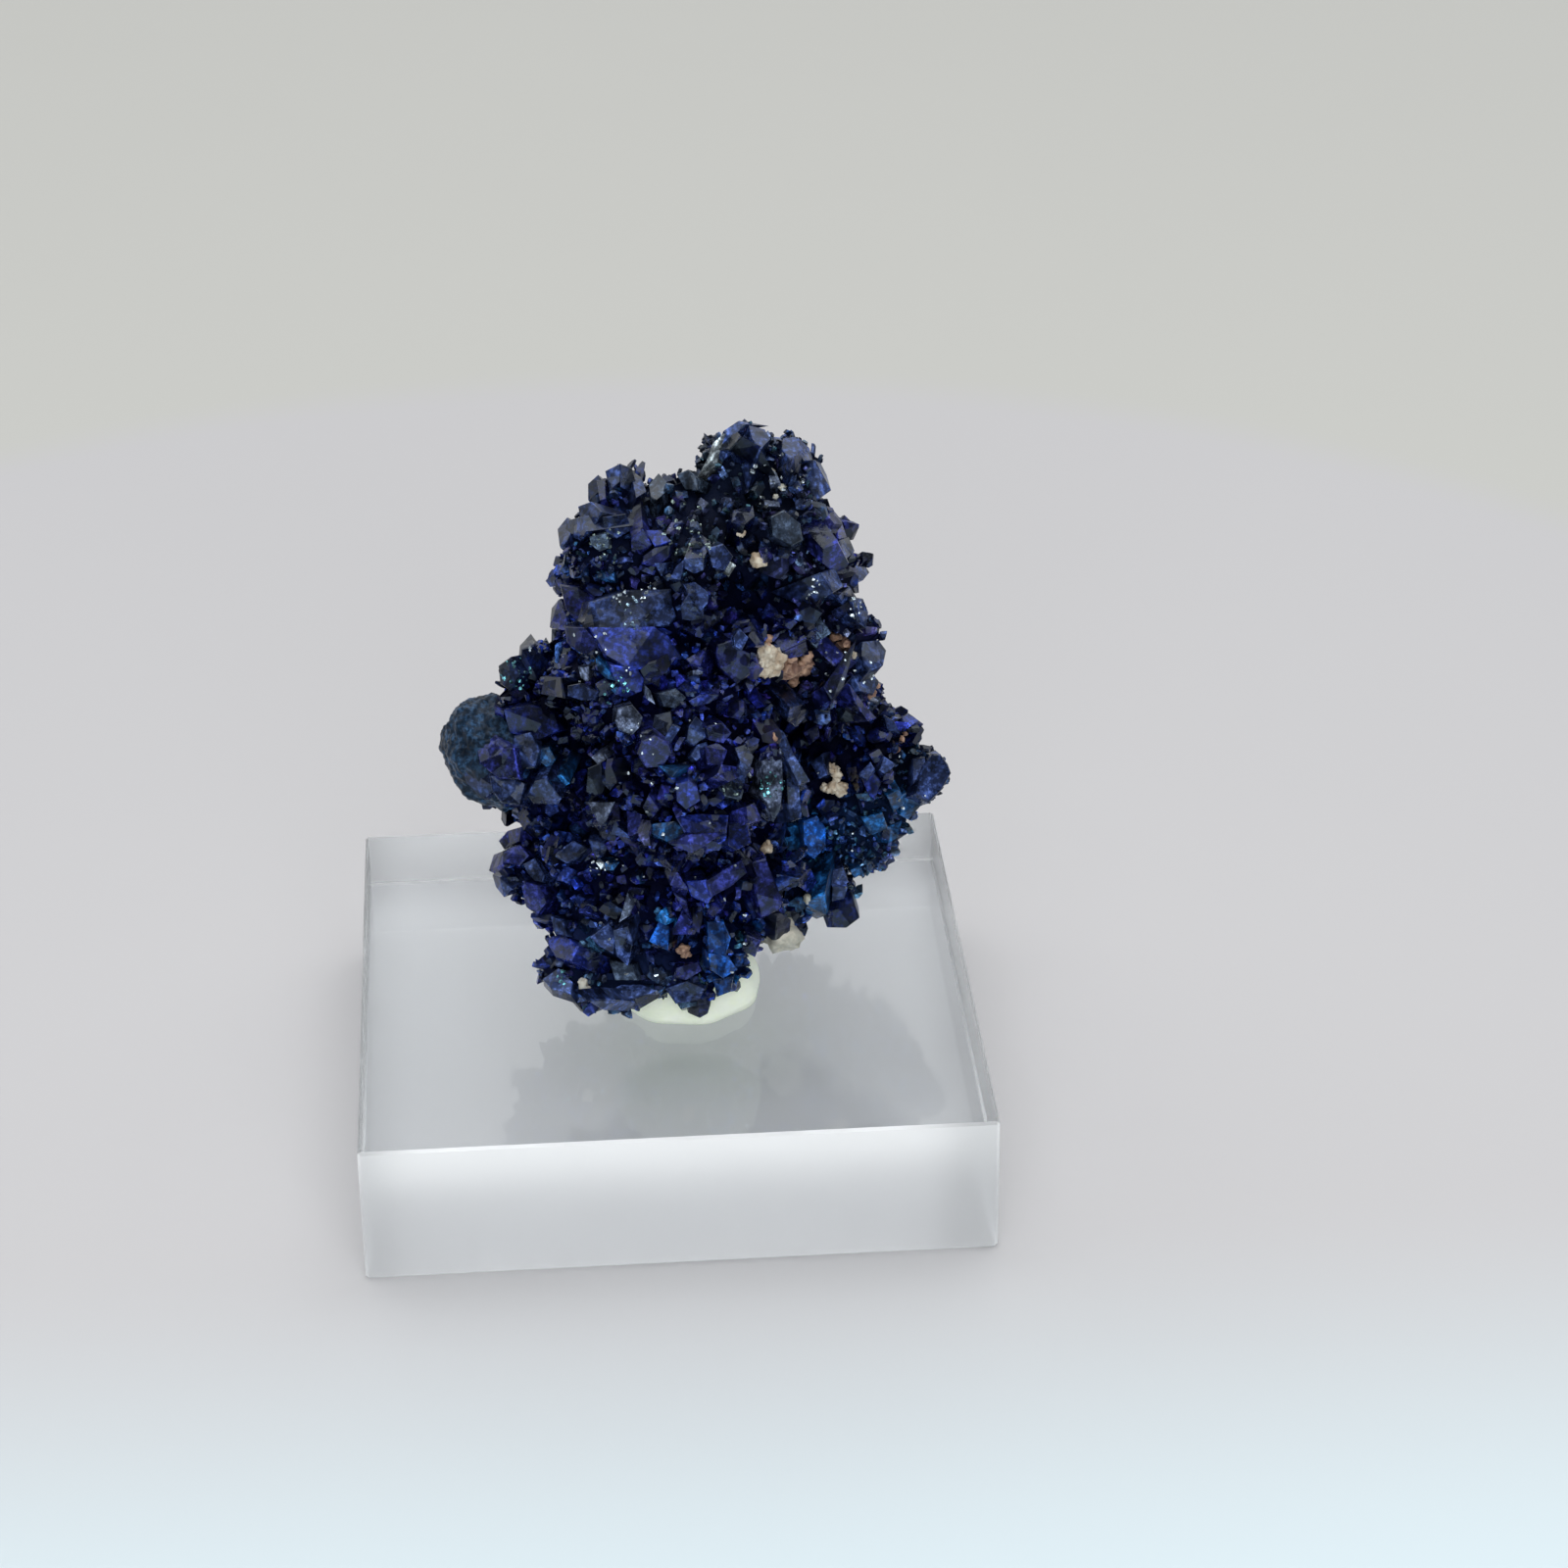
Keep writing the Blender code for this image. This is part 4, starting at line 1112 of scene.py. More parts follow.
GLINT_SPOTS = (
    GlintSpot("prism glitter", (-7.0, -1.2, 26.1), 0.9, 26, Sparkle.TURQUOISE),
    GlintSpot("under the tablet", (-2.3, -5.8, 27.3), 0.9, 22, Sparkle.TURQUOISE),
    GlintSpot("tablet edge left", (-1.9, -2.6, 30.9), 0.5, 9, Sparkle.SILVER_GLINT),
    GlintSpot("tablet edge right", (-0.4, -3.1, 31.2), 0.6, 9, Sparkle.SILVER_GLINT),
    GlintSpot("tablet face", (-1.2, -3.7, 30.4), 0.9, 14, Sparkle.CYAN),
    GlintSpot("tablet foot", (-1.5, -5.5, 28.2), 0.25, 3, Sparkle.SILVER_GLINT),
    GlintSpot("pale blade", (5.4, -5.8, 21.6), 0.7, 22, Sparkle.TURQUOISE),
    GlintSpot("glinting cube", (10.1, -0.6, 28.6), 0.6, 12, Sparkle.SILVER_GLINT),
    GlintSpot("recess edge", (7.8, -1.7, 30.3), 0.6, 9, Sparkle.SILVER_GLINT),
    GlintSpot("toe", (-5.2, -5.4, 10.6), 0.6, 12, Sparkle.TURQUOISE),
    GlintSpot("knee", (-3.3, -4.6, 16.7), 0.6, 9, Sparkle.SILVER_GLINT),
    GlintSpot("belly", (3.3, -7.1, 22.0), 0.6, 9, Sparkle.SAGE),
    GlintSpot("upper front", (2.0, -1.8, 34.0), 1.8, 60, Sparkle.SAGE),
    GlintSpot("left crown", (-2.4, -1.8, 33.2), 1.0, 26, Sparkle.SAGE),
    GlintSpot("crown", (6.2, 0.8, 35.2), 1.6, 26, Sparkle.SILVER_GLINT),
    GlintSpot("left flank", (-4.5, -3.0, 28.5), 2.2, 14, Sparkle.SILVER_GLINT),
    GlintSpot("right shoulder", (9.6, -0.2, 25.5), 2.0, 18, Sparkle.SILVER_GLINT),
    GlintSpot("middle", (1.0, -7.4, 23.5), 3.6, 22, Sparkle.SILVER_GLINT),
    GlintSpot("keel", (0.5, -7.0, 15.0), 4.5, 22, Sparkle.SILVER_GLINT),
    GlintSpot("wing", (11.0, 0.0, 16.0), 4.0, 16, Sparkle.SILVER_GLINT),
)


class Stuff(Enum):
    """What else grows among the azurite: light colour, dark colour, roughness and clearness."""

    CREAM = ((0.74, 0.67, 0.54), (0.40, 0.30, 0.21), 0.55, 0.25)
    TAN = ((0.52, 0.33, 0.23), (0.16, 0.09, 0.07), 0.7, 0.1)
    WHITE = ((0.66, 0.64, 0.55), (0.40, 0.40, 0.34), 0.45, 0.4)


@dataclass(frozen=True)
class Inclusion:
    """A patch of another mineral between the crystals, as a huddle of lumps.

    size is the range of the lumps' radii, and rise how much of its radius each lump's middle stands out.
    """

    name: str
    stuff: Stuff
    centre: Point
    reach: float
    count: int
    size: tuple[float, float]
    rise: float = 0.25


INCLUSIONS = (
    Inclusion("cream patch", Stuff.CREAM, (5.3, -3.9, 27.4), 0.75, 12, (0.22, 0.5)),
    Inclusion("tan patch", Stuff.TAN, (7.0, -1.9, 26.5), 1.0, 13, (0.2, 0.45)),
    Inclusion("tan patch low", Stuff.TAN, (7.1, -0.6, 25.3), 0.7, 5, (0.15, 0.35)),
    Inclusion("tan speck", Stuff.TAN, (5.3, -3.8, 28.5), 0.35, 3, (0.15, 0.28)),
    Inclusion("recess grain", Stuff.CREAM, (5.2, -2.4, 32.0), 0.2, 1, (0.36, 0.4), 0.5),
    Inclusion("upper grain", Stuff.CREAM, (4.1, -2.2, 33.8), 0.2, 1, (0.2, 0.24), 0.35),
    Inclusion("block grain", Stuff.WHITE, (6.7, -2.2, 33.5), 0.2, 1, (0.2, 0.24), 0.35),
    Inclusion("crown grains", Stuff.WHITE, (6.2, 0.9, 35.2), 0.9, 5, (0.12, 0.22)),
    Inclusion("flank grains", Stuff.TAN, (9.3, -0.1, 26.3), 0.8, 7, (0.14, 0.28)),
    Inclusion("flank specks", Stuff.CREAM, (9.8, 0.0, 25.7), 0.7, 4, (0.1, 0.2)),
    Inclusion("shoulder specks", Stuff.TAN, (11.2, 0.6, 23.8), 0.9, 6, (0.12, 0.25)),
    Inclusion("belly edge", Stuff.TAN, (5.3, -4.7, 23.7), 0.45, 4, (0.18, 0.32)),
    Inclusion("wing patch", Stuff.CREAM, (9.2, 0.3, 19.0), 0.6, 5, (0.18, 0.32)),
    Inclusion("wing patch low", Stuff.CREAM, (8.9, 0.1, 18.0), 0.7, 6, (0.18, 0.34)),
    Inclusion("wing edge", Stuff.TAN, (12.9, 2.0, 19.4), 0.7, 5, (0.12, 0.24)),
    Inclusion("keel grain", Stuff.CREAM, (5.4, -3.5, 16.6), 0.25, 2, (0.22, 0.3), 0.4),
    Inclusion("skirt grain", Stuff.WHITE, (7.6, -0.8, 11.9), 0.25, 1, (0.22, 0.26), 0.35),
    Inclusion("foot patch", Stuff.TAN, (0.7, -6.2, 12.2), 0.6, 6, (0.15, 0.3)),
    Inclusion("toe grain", Stuff.WHITE, (-4.2, -6.6, 10.8), 0.25, 2, (0.24, 0.32), 0.4),
    Inclusion("pebble", Stuff.WHITE, (6.4, -4.0, 11.85), 1.2, 1, (0.92, 0.94), 0.95),
)


@dataclass(frozen=True)
class SmoothLobe:
    """A rounded lobe with a skin of crystals too fine to tell apart."""

    name: str
    centre: Point
    radii: Point
    turn: float
    tint: Colour
    lump: float = 0.10


SMOOTH_LOBES = (
    SmoothLobe("left wing rim", (-8.35, -1.6, 21.9), (2.5, 2.4, 3.0), -24.0, (0.013, 0.032, 0.066)),
)


@dataclass(frozen=True)
class Viewpoint:
    """Where the photograph was taken from, and which ray each pixel of its frame looks along."""

    place: Point = (-6.54, -187.6, 121.7)
    yaw: float = 3.95
    pitch: float = 28.78
    roll: float = 0.60
    lens: float = 95.76
    sensor: float = 36.0
    frame_side: float = 1600.0

    def turn(self) -> Matrix:
        """The camera's rotation.

        Returns:
            Its matrix.
        """
        yaw, pitch, roll = (math.radians(angle) for angle in (self.yaw, self.pitch, self.roll))
        level = Matrix.Rotation(-yaw, 4, "Z") @ Matrix.Rotation(math.pi / 2 - pitch, 4, "X")
        return level @ Matrix.Rotation(-roll, 4, "Z")

    @property
    def reach(self) -> float:
        """How far in front of the eye the frame lies, in its pixels."""
        return self.frame_side * self.lens / self.sensor

    def rays(self, pixels: np.ndarray) -> np.ndarray:
        """Works out where pixels look.

        Args:
            pixels: Their places in the frame.

        Returns:
            The direction in which each one looks.
        """
        reach, half = self.reach, self.frame_side / 2
        local = np.stack([(pixels[:, 0] - half) / reach, (half - pixels[:, 1]) / reach, -np.ones(len(pixels))], axis=1)
        return unit(local @ np.array(self.turn())[:3, :3].T)

    def pixels(self, places: np.ndarray) -> np.ndarray:
        """Works out where places appear.

        Args:
            places: The places, in millimetres.

        Returns:
            Each one's pixel in the frame.
        """
        reach, half = self.reach, self.frame_side / 2
        local = (places - self.place) @ np.array(self.turn())[:3, :3]
        return np.stack([half - reach * local[:, 0] / local[:, 2], half + reach * local[:, 1] / local[:, 2]], axis=1)


class Stone:
    """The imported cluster's surface: its triangles, where points lie on it, and its general lie there."""

    FELT_PLACES = 2500
    SMALLEST = 1e-12

    def __init__(self, node: str, sense: float = 2.0) -> None:
        """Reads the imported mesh, in millimetres.

        Args:
            node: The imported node's name.
            sense: How far around a point its general direction is felt.
        """
        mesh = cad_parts[node].data
        mesh.calc_loop_triangles()
        points = np.empty(len(mesh.vertices) * 3)
        mesh.vertices.foreach_get("co", points)
        triangles = np.empty(len(mesh.loop_triangles) * 3, np.int32)
        mesh.loop_triangles.foreach_get("vertices", triangles)
        world = np.array(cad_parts[node].matrix_world)
        self.points = (points.reshape(-1, 3) @ world[:3, :3].T + world[:3, 3]) / MM
        self.triangles = self._welded(triangles.reshape(-1, 3))
        corners = self.points[self.triangles]
        crossed = np.cross(corners[:, 1] - corners[:, 0], corners[:, 2] - corners[:, 0])
        doubled = np.linalg.norm(crossed, axis=1)
        self.areas = doubled / 2
        self.normals = crossed / np.maximum(doubled, self.SMALLEST)[:, None]
        self._feel_lie(sense)

    def _welded(self, triangles: np.ndarray) -> np.ndarray:
        """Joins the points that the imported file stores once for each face.

        Args:
            triangles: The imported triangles.

        Returns:
            Those that are left, by the joined points.
        """
        self.points, index = np.unique(self.points.round(4), axis=0, return_inverse=True)
        joined = index.reshape(-1)[triangles]
        whole = (joined[:, 0] != joined[:, 1]) & (joined[:, 1] != joined[:, 2]) & (joined[:, 0] != joined[:, 2])
        return joined[whole]

    def _feel_lie(self, sense: float) -> None:
        """Works out the general outward direction at seeded points all over the surface.

        Args:
            sense: How far around a point its general direction is felt.
        """
        rng = np.random.default_rng(5)
        places, owners = self.sample(self.FELT_PLACES, rng)
        self.places = places
        self.solid = BVHTree.FromPolygons(self.points.tolist(), self.triangles.tolist())
        self.tree = kdtree.KDTree(len(places))
        for index, place in enumerate(places):
            self.tree.insert(place, index)
        self.tree.balance()
        lie = []
        for place in places:
            near = [index for _, index, _ in self.tree.find_range(place, sense)]
            mean = self.normals[owners[near]].mean(axis=0)
            lie.append(mean / max(np.linalg.norm(mean), 1e-9))
        self.lie = np.array(lie)

    def sample(self, count: int, rng: np.random.Generator) -> tuple[np.ndarray, np.ndarray]:
        """Random points, evenly spread by area.

        Args:
            count: How many.
            rng: The seeded source of chance.

        Returns:
            The points, and the triangle that each lies on.
        """
        owners = rng.choice(len(self.areas), size=count, p=self.areas / self.areas.sum())
        share = np.sort(rng.random((count, 2)), axis=1)
        weights = np.stack([share[:, 0], share[:, 1] - share[:, 0], 1 - share[:, 1]], axis=1)
        return (self.points[self.triangles[owners]] * weights[..., None]).sum(axis=1), owners

    def point_normals(self) -> np.ndarray:
        """Finds the outward direction at each point, as the mean over the triangles that meet there.

        Returns:
            One direction for each point.
        """
        total = np.zeros_like(self.points)
        for corner in range(3):
            np.add.at(total, self.triangles[:, corner], self.normals * self.areas[:, None])
        return total / np.maximum(np.linalg.norm(total, axis=1, keepdims=True), self.SMALLEST)

    def lie_at(self, places: np.ndarray) -> np.ndarray:
        """The general outward direction at each place."""
        return np.array([self.lie[self.tree.find(place)[1]] for place in places])

    def meets(self, start: np.ndarray, direction: np.ndarray) -> float | None:
        """How far the ray from start goes before it meets the stone, or None where it misses."""
        return self.solid.ray_cast(Vector(start), Vector(direction))[3]

    def comes_near(self, start: np.ndarray, direction: np.ndarray) -> float:
        """Finds where a ray that misses the stone passes closest to it.

        Args:
            start: Where the ray starts.
            direction: Where it goes.

        Returns:
            How far along the ray that is.
        """
        offsets = self.places - start
        along = offsets @ direction
        aside = np.linalg.norm(offsets - along[:, None] * direction, axis=1)
        return float(along[np.argmin(aside)])


ZONE_EDGE = 1.35
ZONE_STRENGTH = 3
REST_WEIGHT = 0.35


def blended(places: np.ndarray, rng: np.random.Generator, spread: float) -> dict[str, np.ndarray]:
    """The look of the cluster at each place, from the zones that reach it.

    Args:
        places: Where it is asked for.
        rng: The seeded source of chance.
        spread: How far one crystal's tone strays from its neighbour's.

    Returns:
        The tint, grain, dust, shine and painted gap shade there.
    """
    gaps = np.stack([np.linalg.norm(places - zone.centre, axis=1) / zone.reach for zone in ZONES])
    weights = np.clip(ZONE_EDGE - gaps, 0, 1) ** 2 * ZONE_STRENGTH
    plain = np.full(len(places), REST_WEIGHT)
    total = weights.sum(axis=0) + plain

    def mean(pick: str, rest: float | Colour) -> np.ndarray:
        """Blends one property of the zones.

        Args:
            pick: The property.
            rest: Its value where no zone reaches.

        Returns:
            Its mean at each place.
        """
        values = np.array([getattr(zone, pick) for zone in ZONES], dtype=float)
        shaped = (weights.T @ values.reshape(len(ZONES), -1)) + plain[:, None] * np.array(rest, ndmin=1)
        return shaped / total[:, None]

    tone = np.exp(rng.normal(0, spread, (len(places), 1)))
    hue = np.exp(rng.normal(0, spread * 0.35, (len(places), 3)))
    return {
        "tint": np.minimum(mean("tint", REST_TINT) * tone * hue, MOST_TINT),
        "grain": mean("grain", 1.0)[:, 0],
        "dust": np.clip(mean("dust", 0.35)[:, 0] * rng.uniform(0.4, 1.5, len(places)), 0, 1),
        "shine": np.clip(mean("shine", 0.5)[:, 0] * rng.uniform(0.3, 1.7, len(places)), 0, 1),
        "gap": mean("gap", 0.15)[:, 0],
    }


class PhotographedCrystals:
    """The crystals whose broad faces the photograph shows, each rooted in the stone behind it."""

    FACING = 0.35
    TURNED_MORE = 0.15
    NAMED_STRAY = 0.03
    FREE_STRAY = 0.26
    CLEARANCE = 0.12
    MOST_SHIFT = 1.1
    ROOT_MORE = 0.5
    DEPTH = (0.9, 3.2)
    NEAR = 4.0
    RIDGED = 0.75
    RIDGE_ANGLE = (6, 18)
    MOST_FALL = 0.7

    def __init__(self, stone: Stone, view: Viewpoint) -> None:
        """Finds each crystal's plane in front of the stone.

        Args:
            stone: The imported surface.
            view: Where the photograph was taken from.
        """
        self.stone = stone
        self.view = view
        self.eye = np.array(view.place)
        self.rng = np.random.default_rng(17)
        self.outlines = [np.array(facet.corners, dtype=float).reshape(-1, 2) for facet in FACETS]
        self.planes = [self._plane(facet, outline) for facet, outline in zip(FACETS, self.outlines)]

    def build(self, low: np.ndarray, high: np.ndarray) -> Mesh:
        """Builds all the crystals.

        Args:
            low: The lowest corner that they may reach.
            high: The highest one.

        Returns:
            Their one mesh.
        """
        parts = [
            self._crystal(facet, outline, *plane) for facet, outline, plane in zip(FACETS, self.outlines, self.planes)
        ]
        mesh = Mesh.joined(parts)
        mesh.points = np.clip(mesh.points, low, high)
        return mesh

    def covers(self, places: np.ndarray, margin: float) -> np.ndarray:
        """Tells which places lie behind a photographed crystal, or close beside it.

        Args:
            places: The places asked about.
            margin: How many pixels still count as close.

        Returns:
            True for each such place.
        """
        pixels = self.view.pixels(places)
        depths = np.linalg.norm(places - self.eye, axis=1)
        covered = np.zeros(len(places), dtype=bool)
        for outline, (anchor, _) in zip(self.outlines, self.planes):
            spokes = outline - outline.mean(axis=0)
            grown = outline.mean(axis=0) + spokes * (1 + margin / np.linalg.norm(spokes, axis=1).mean())
            near = np.abs(depths - np.linalg.norm(anchor - self.eye)) < self.NEAR
            near[near] = self._inside(pixels[near], grown)
            covered |= near
        return covered

    @staticmethod
    def _inside(pixels: np.ndarray, outline: np.ndarray) -> np.ndarray:
        """Tells which pixels lie inside an outline.

        Args:
            pixels: The pixels asked about.
            outline: The outline's corners.

        Returns:
            True for each such pixel.
        """
        inside = np.zeros(len(pixels), dtype=bool)
        for (x1, y1), (x2, y2) in zip(outline, np.roll(outline, -1, axis=0)):
            if y1 != y2:
                crosses = (y1 > pixels[:, 1]) != (y2 > pixels[:, 1])
                inside ^= crosses & (pixels[:, 0] < x1 + (pixels[:, 1] - y1) / (y2 - y1) * (x2 - x1))
        return inside

    def _plane(self, facet: Facet, outline: np.ndarray) -> tuple[np.ndarray, np.ndarray]:
        """The plane of a crystal's broad face.

        Args:
            facet: The crystal.
            outline: Its corners in the frame.

        Returns:
            A point on the plane, and the direction that it faces.
        """
        rays = self.view.rays(np.vstack([outline.mean(axis=0), outline]))
        met = [self.stone.meets(self.eye, ray) for ray in rays]
        reached = [far for far in met if far is not None]
        if met[0] is not None:
            far = met[0]
        elif reached:
            far = float(np.median(reached))
        else:
            far = self.stone.comes_near(self.eye, rays[0])
        anchor = self.eye + rays[0] * far
        if facet.faces:
            normal = np.array(facet.faces, dtype=float) + self.rng.normal(0, self.NAMED_STRAY, 3)
        else:
            stray = self.rng.normal(0, self.FREE_STRAY, 3)
            normal = 0.7 * self.stone.lie_at(anchor[None])[0] - 0.3 * rays[0] + stray
        normal /= np.linalg.norm(normal)
        shown = -normal @ rays[0]
        if shown < self.FACING:
            normal -= rays[0] * (self.FACING + self.TURNED_MORE - shown)
            normal /= np.linalg.norm(normal)
        anchor = anchor - rays[0] * facet.lift
        behind = [self._along(ray, anchor, normal) - far for ray, far in zip(rays, met) if far is not None]
        if behind:
            anchor = anchor - rays[0] * np.clip(max(behind) + self.CLEARANCE, 0, self.MOST_SHIFT)
        return anchor, normal

    def _along(self, ray: np.ndarray, anchor: np.ndarray, normal: np.ndarray) -> float:
        """How far the camera's ray goes before it meets the plane."""
        return float((anchor - self.eye) @ normal / (ray @ normal))

    def _crystal(self, facet: Facet, outline: np.ndarray, anchor: np.ndarray, normal: np.ndarray) -> Mesh:
        """One crystal: its broad face, a narrow bevel round that, and sides that go down into the stone, painted
        darker towards the root as painted shade.

        Args:
            facet: The crystal.
            outline: Its corners in the frame.
            anchor: A point on its broad face.
            normal: The direction of its broad face.

        Returns:
            Its mesh, each face with its own points.
        """
        rng = self.rng
        corners = np.array([self.eye + ray * self._along(ray, anchor, normal) for ray in self.view.rays(outline)])
        centre = corners.mean(axis=0)
        spokes = corners - centre
        size = np.linalg.norm(spokes, axis=1).mean()
        if np.cross(spokes, np.roll(spokes, -1, axis=0)).sum(axis=0) @ normal < 0:
            corners, spokes = corners[::-1], spokes[::-1]
        count = len(corners)
        root_shade = blended(centre[None], rng, 0.0)["gap"][0]
        sink = np.empty(count)
        for index, corner in enumerate(corners):
            reach = self.stone.meets(corner, -normal)
            sink[index] = np.clip((reach if reach is not None else 0.4) + self.ROOT_MORE, *self.DEPTH)
        if count > 4 and rng.random() < self.RIDGED:
            first = rng.integers(count)
            last = (first + count // 2) % count
            ridge = corners[last] - corners[first]
            aside = np.cross(ridge / np.linalg.norm(ridge), normal)
            slope = math.tan(math.radians(rng.uniform(*self.RIDGE_ANGLE)))
            fall = np.abs((corners - corners[first]) @ aside) * slope
            corners = corners - normal * np.minimum(fall, self.MOST_FALL)[:, None]
            rings = [np.roll(np.arange(count), -first)[: count // 2 + 1]]
            rings.append(np.append(np.roll(np.arange(count), -first)[count // 2 :], first))
        else:
            rings = [np.arange(count)]
        bevel = rng.uniform(0.02, 0.12, (count, 1))
        brow = corners + spokes * bevel - normal * (bevel * size * rng.uniform(0.5, 1.6))
        root = corners + spokes * (bevel + rng.uniform(0.05, 0.3, (count, 1))) - normal * sink[:, None]
        faces = [corners[ring] for ring in rings]
        shades = [np.full(len(ring), 1.0 if len(rings) == 1 else np.exp(rng.normal(0, 0.22))) for ring in rings]
        for index in range(count):
            turn = (index + 1) % count
            faces.append(np.array([corners[index], brow[index], brow[turn], corners[turn]]))
            shades.append(np.full(4, np.exp(rng.normal(0, 0.45))))
            # The sides fade to the zone's gap shade at the root and are a little darker on average: painted shade.
            faces.append(np.array([brow[index], root[index], root[turn], brow[turn]]))
            shades.append(np.array([1, root_shade, root_shade, 1]) * np.exp(rng.normal(-0.3, 0.45)))
        points = np.concatenate(faces)
        turned = np.linalg.qr(rng.normal(size=(3, 3)))[0]
        shine = np.repeat(rng.uniform(0.1, 0.75, len(faces)), [len(face) for face in faces])
        return Mesh(
            points,
            fans(faces),
            np.array(facet.hue.value) * facet.tone * np.concatenate(shades)[:, None] + DEEPEST_SHADE_TINT,
            shine,
            np.full(len(points), rng.uniform(0.1, 0.5)),
            points @ turned + rng.uniform(0, 50, 3),
        )


class AzuriteCluster:
    """The azurite: its ground painted dark as the shade between crystals, the photographed crystals, and the finer
    ones strewn over it.
    """

    NODE = "azurite_cluster"
    SLOT = "azurite"
    TONE_SPREAD = 0.62
    FACE_SPREAD = 0.68
    SUNK = 0.42
    OFF_BLOCK = 0.1
    LOBE_MARGIN = 1.12
    LOBE_LIP = 0.6
    GLINT_SHAPE = (1.0, 0.8, 1.3)
    GLINT_SIZE = (0.08, 0.22)
    GLINT_STAND = (0.03, 0.10)
    GLINT_STRAY = 0.45
    SWELLS = ((2.2, 1.0), (5.0, 0.55), (11.0, 0.35), (22.0, 0.16))

    def __init__(self, stone: Stone, view: Viewpoint) -> None:
        """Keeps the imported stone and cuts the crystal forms.

        Args:
            stone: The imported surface.
            view: Where the photograph was taken from.
        """
        self.stone = stone
        self.view = view
        rng = np.random.default_rng(3)
        self.forms = [CrystalForm(habit, rng) for habit in Habit for _ in range(habit.copies)]
        self.finish = AzuriteFinish().make()
        self.lobe_finish = AzuriteFinish("azurite lobes", specular=0.2, clouding=(0.75, 1.2), tilt=0.2).make()
        self.gap_shade_finish = GapShadeFinish().make()
        self.box = [np.array(corner) / MM for corner in CAD_BOX]
        self.box[0][2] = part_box(ClearBlock.node)[1][2] / MM + self.OFF_BLOCK
        self.photographed = PhotographedCrystals(stone, view)

    def build(self) -> list[bpy.types.Object]:
        """Builds every azurite piece and says which node it stands for.

        Returns:
            The pieces.
        """
        showy = self.photographed.build(*self.box)
        beds = [self.bed(layer) for layer in BED_LAYERS]
        pieces = [
            self.ground().to_object("azurite_dark_ground", self.gap_shade_finish),
            showy.to_object("azurite_large_crystals", self.finish),
            self.glints([showy, *beds]).to_object("azurite_glints", self.finish),
            self.lobes().to_object("azurite_smooth_lobes", self.lobe_finish, smooth=True),
        ]
        pieces += [bed.to_object(layer.name, self.finish) for layer, bed in zip(BED_LAYERS, beds)]
        return [tied(piece, self.NODE) for piece in pieces]

    def ground(self) -> Mesh:
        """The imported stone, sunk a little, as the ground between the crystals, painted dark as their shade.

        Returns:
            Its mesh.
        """
        stone = self.stone
        count = len(stone.points)
        look = blended(stone.points, np.random.default_rng(8), 0.0)
        return Mesh(
            stone.points - stone.point_normals() * self.SUNK,
            stone.triangles,
            # The ground's tint is cut to the zones' gap shade: painted shade between the crystals.
            look["tint"] * look["gap"][:, None] + DEEPEST_SHADE_TINT,
            np.zeros(count),
            np.zeros(count),
            stone.points,
        )

    def bed(self, layer: BedLayer) -> Mesh:
        """One layer of fine crystals, rooted in the stone.

        Args:
            layer: The size and spacing of its crystals.

        Returns:
            All of them in one mesh.
        """
        rng = np.random.default_rng(layer.seed)
        places, owners = self._spots(layer, rng)
        look = blended(places, rng, self.TONE_SPREAD)
        normals = self.stone.normals[owners]
        lie = self.stone.lie_at(places)
        stray = unit(rng.normal(size=places.shape))
        along = unit(0.3 * normals + 0.7 * lie + stray * rng.uniform(0.2, layer.lean * 1.6, (len(places), 1)))
        width = rng.uniform(*layer.width, len(places))
        thick = width * rng.uniform(0.4, 0.95, len(places))
        size = np.stack([width, thick, rng.uniform(*layer.length, len(places))], axis=1)
        stand = rng.uniform(*layer.stand, len(places)) * np.where(look["grain"] < 1, look["grain"], 1)
        return self._grow(places, normals, along, size * look["grain"][:, None], stand, look, rng)

    def glints(self, carriers: list[Mesh]) -> Mesh:
        """Tiny flat faces on the crystals that are seen where the cluster glitters: they catch the light, and their
        pale tints are painted glints.

        Args:
            carriers: The crystals that carry them.

        Returns:
            All the glints in one mesh.
        """
        rng = np.random.default_rng(21)
        carrier = Mesh.joined(carriers)
        solid = BVHTree.FromPolygons(carrier.points.tolist(), carrier.triangles.tolist())
        eye = np.array(self.view.place)
        scale = self.view.reach / np.linalg.norm(eye)
        places, normals, tints = [], [], []
        for spot in GLINT_SPOTS:
            middle = self.view.pixels(np.array([spot.centre]))[0]
            angle, out = rng.uniform(0, math.tau, spot.count), np.sqrt(rng.random(spot.count)) * spot.reach * scale
            aims = middle + np.stack([np.cos(angle), np.sin(angle)], axis=1) * out[:, None]
            for ray in self.view.rays(aims):
                place, normal, _, _ = solid.ray_cast(Vector(eye), Vector(ray))
                if place is not None:
                    places.append(np.array(place))
                    normals.append(np.array(normal) * -np.sign(np.array(normal) @ ray))
                    # Pale tints on the glints: painted highlights.
                    tints.append(np.array(spot.sparkle.value) * rng.uniform(0.35, 1.5))
        places, normals = np.array(places), np.array(normals)
        count = len(places)
        look = {
            "tint": np.clip(np.array(tints), 0, 0.9),
            "shine": rng.uniform(0, 0.3, count),
            "dust": np.zeros(count),
        }
        along = unit(normals + rng.normal(size=(count, 3)) * self.GLINT_STRAY)
        size = rng.uniform(*self.GLINT_SIZE, (count, 1)) * np.array(self.GLINT_SHAPE)
        stand = rng.uniform(*self.GLINT_STAND, count)
        return self._grow(places, normals, along, size, stand, look, rng, 1.0)

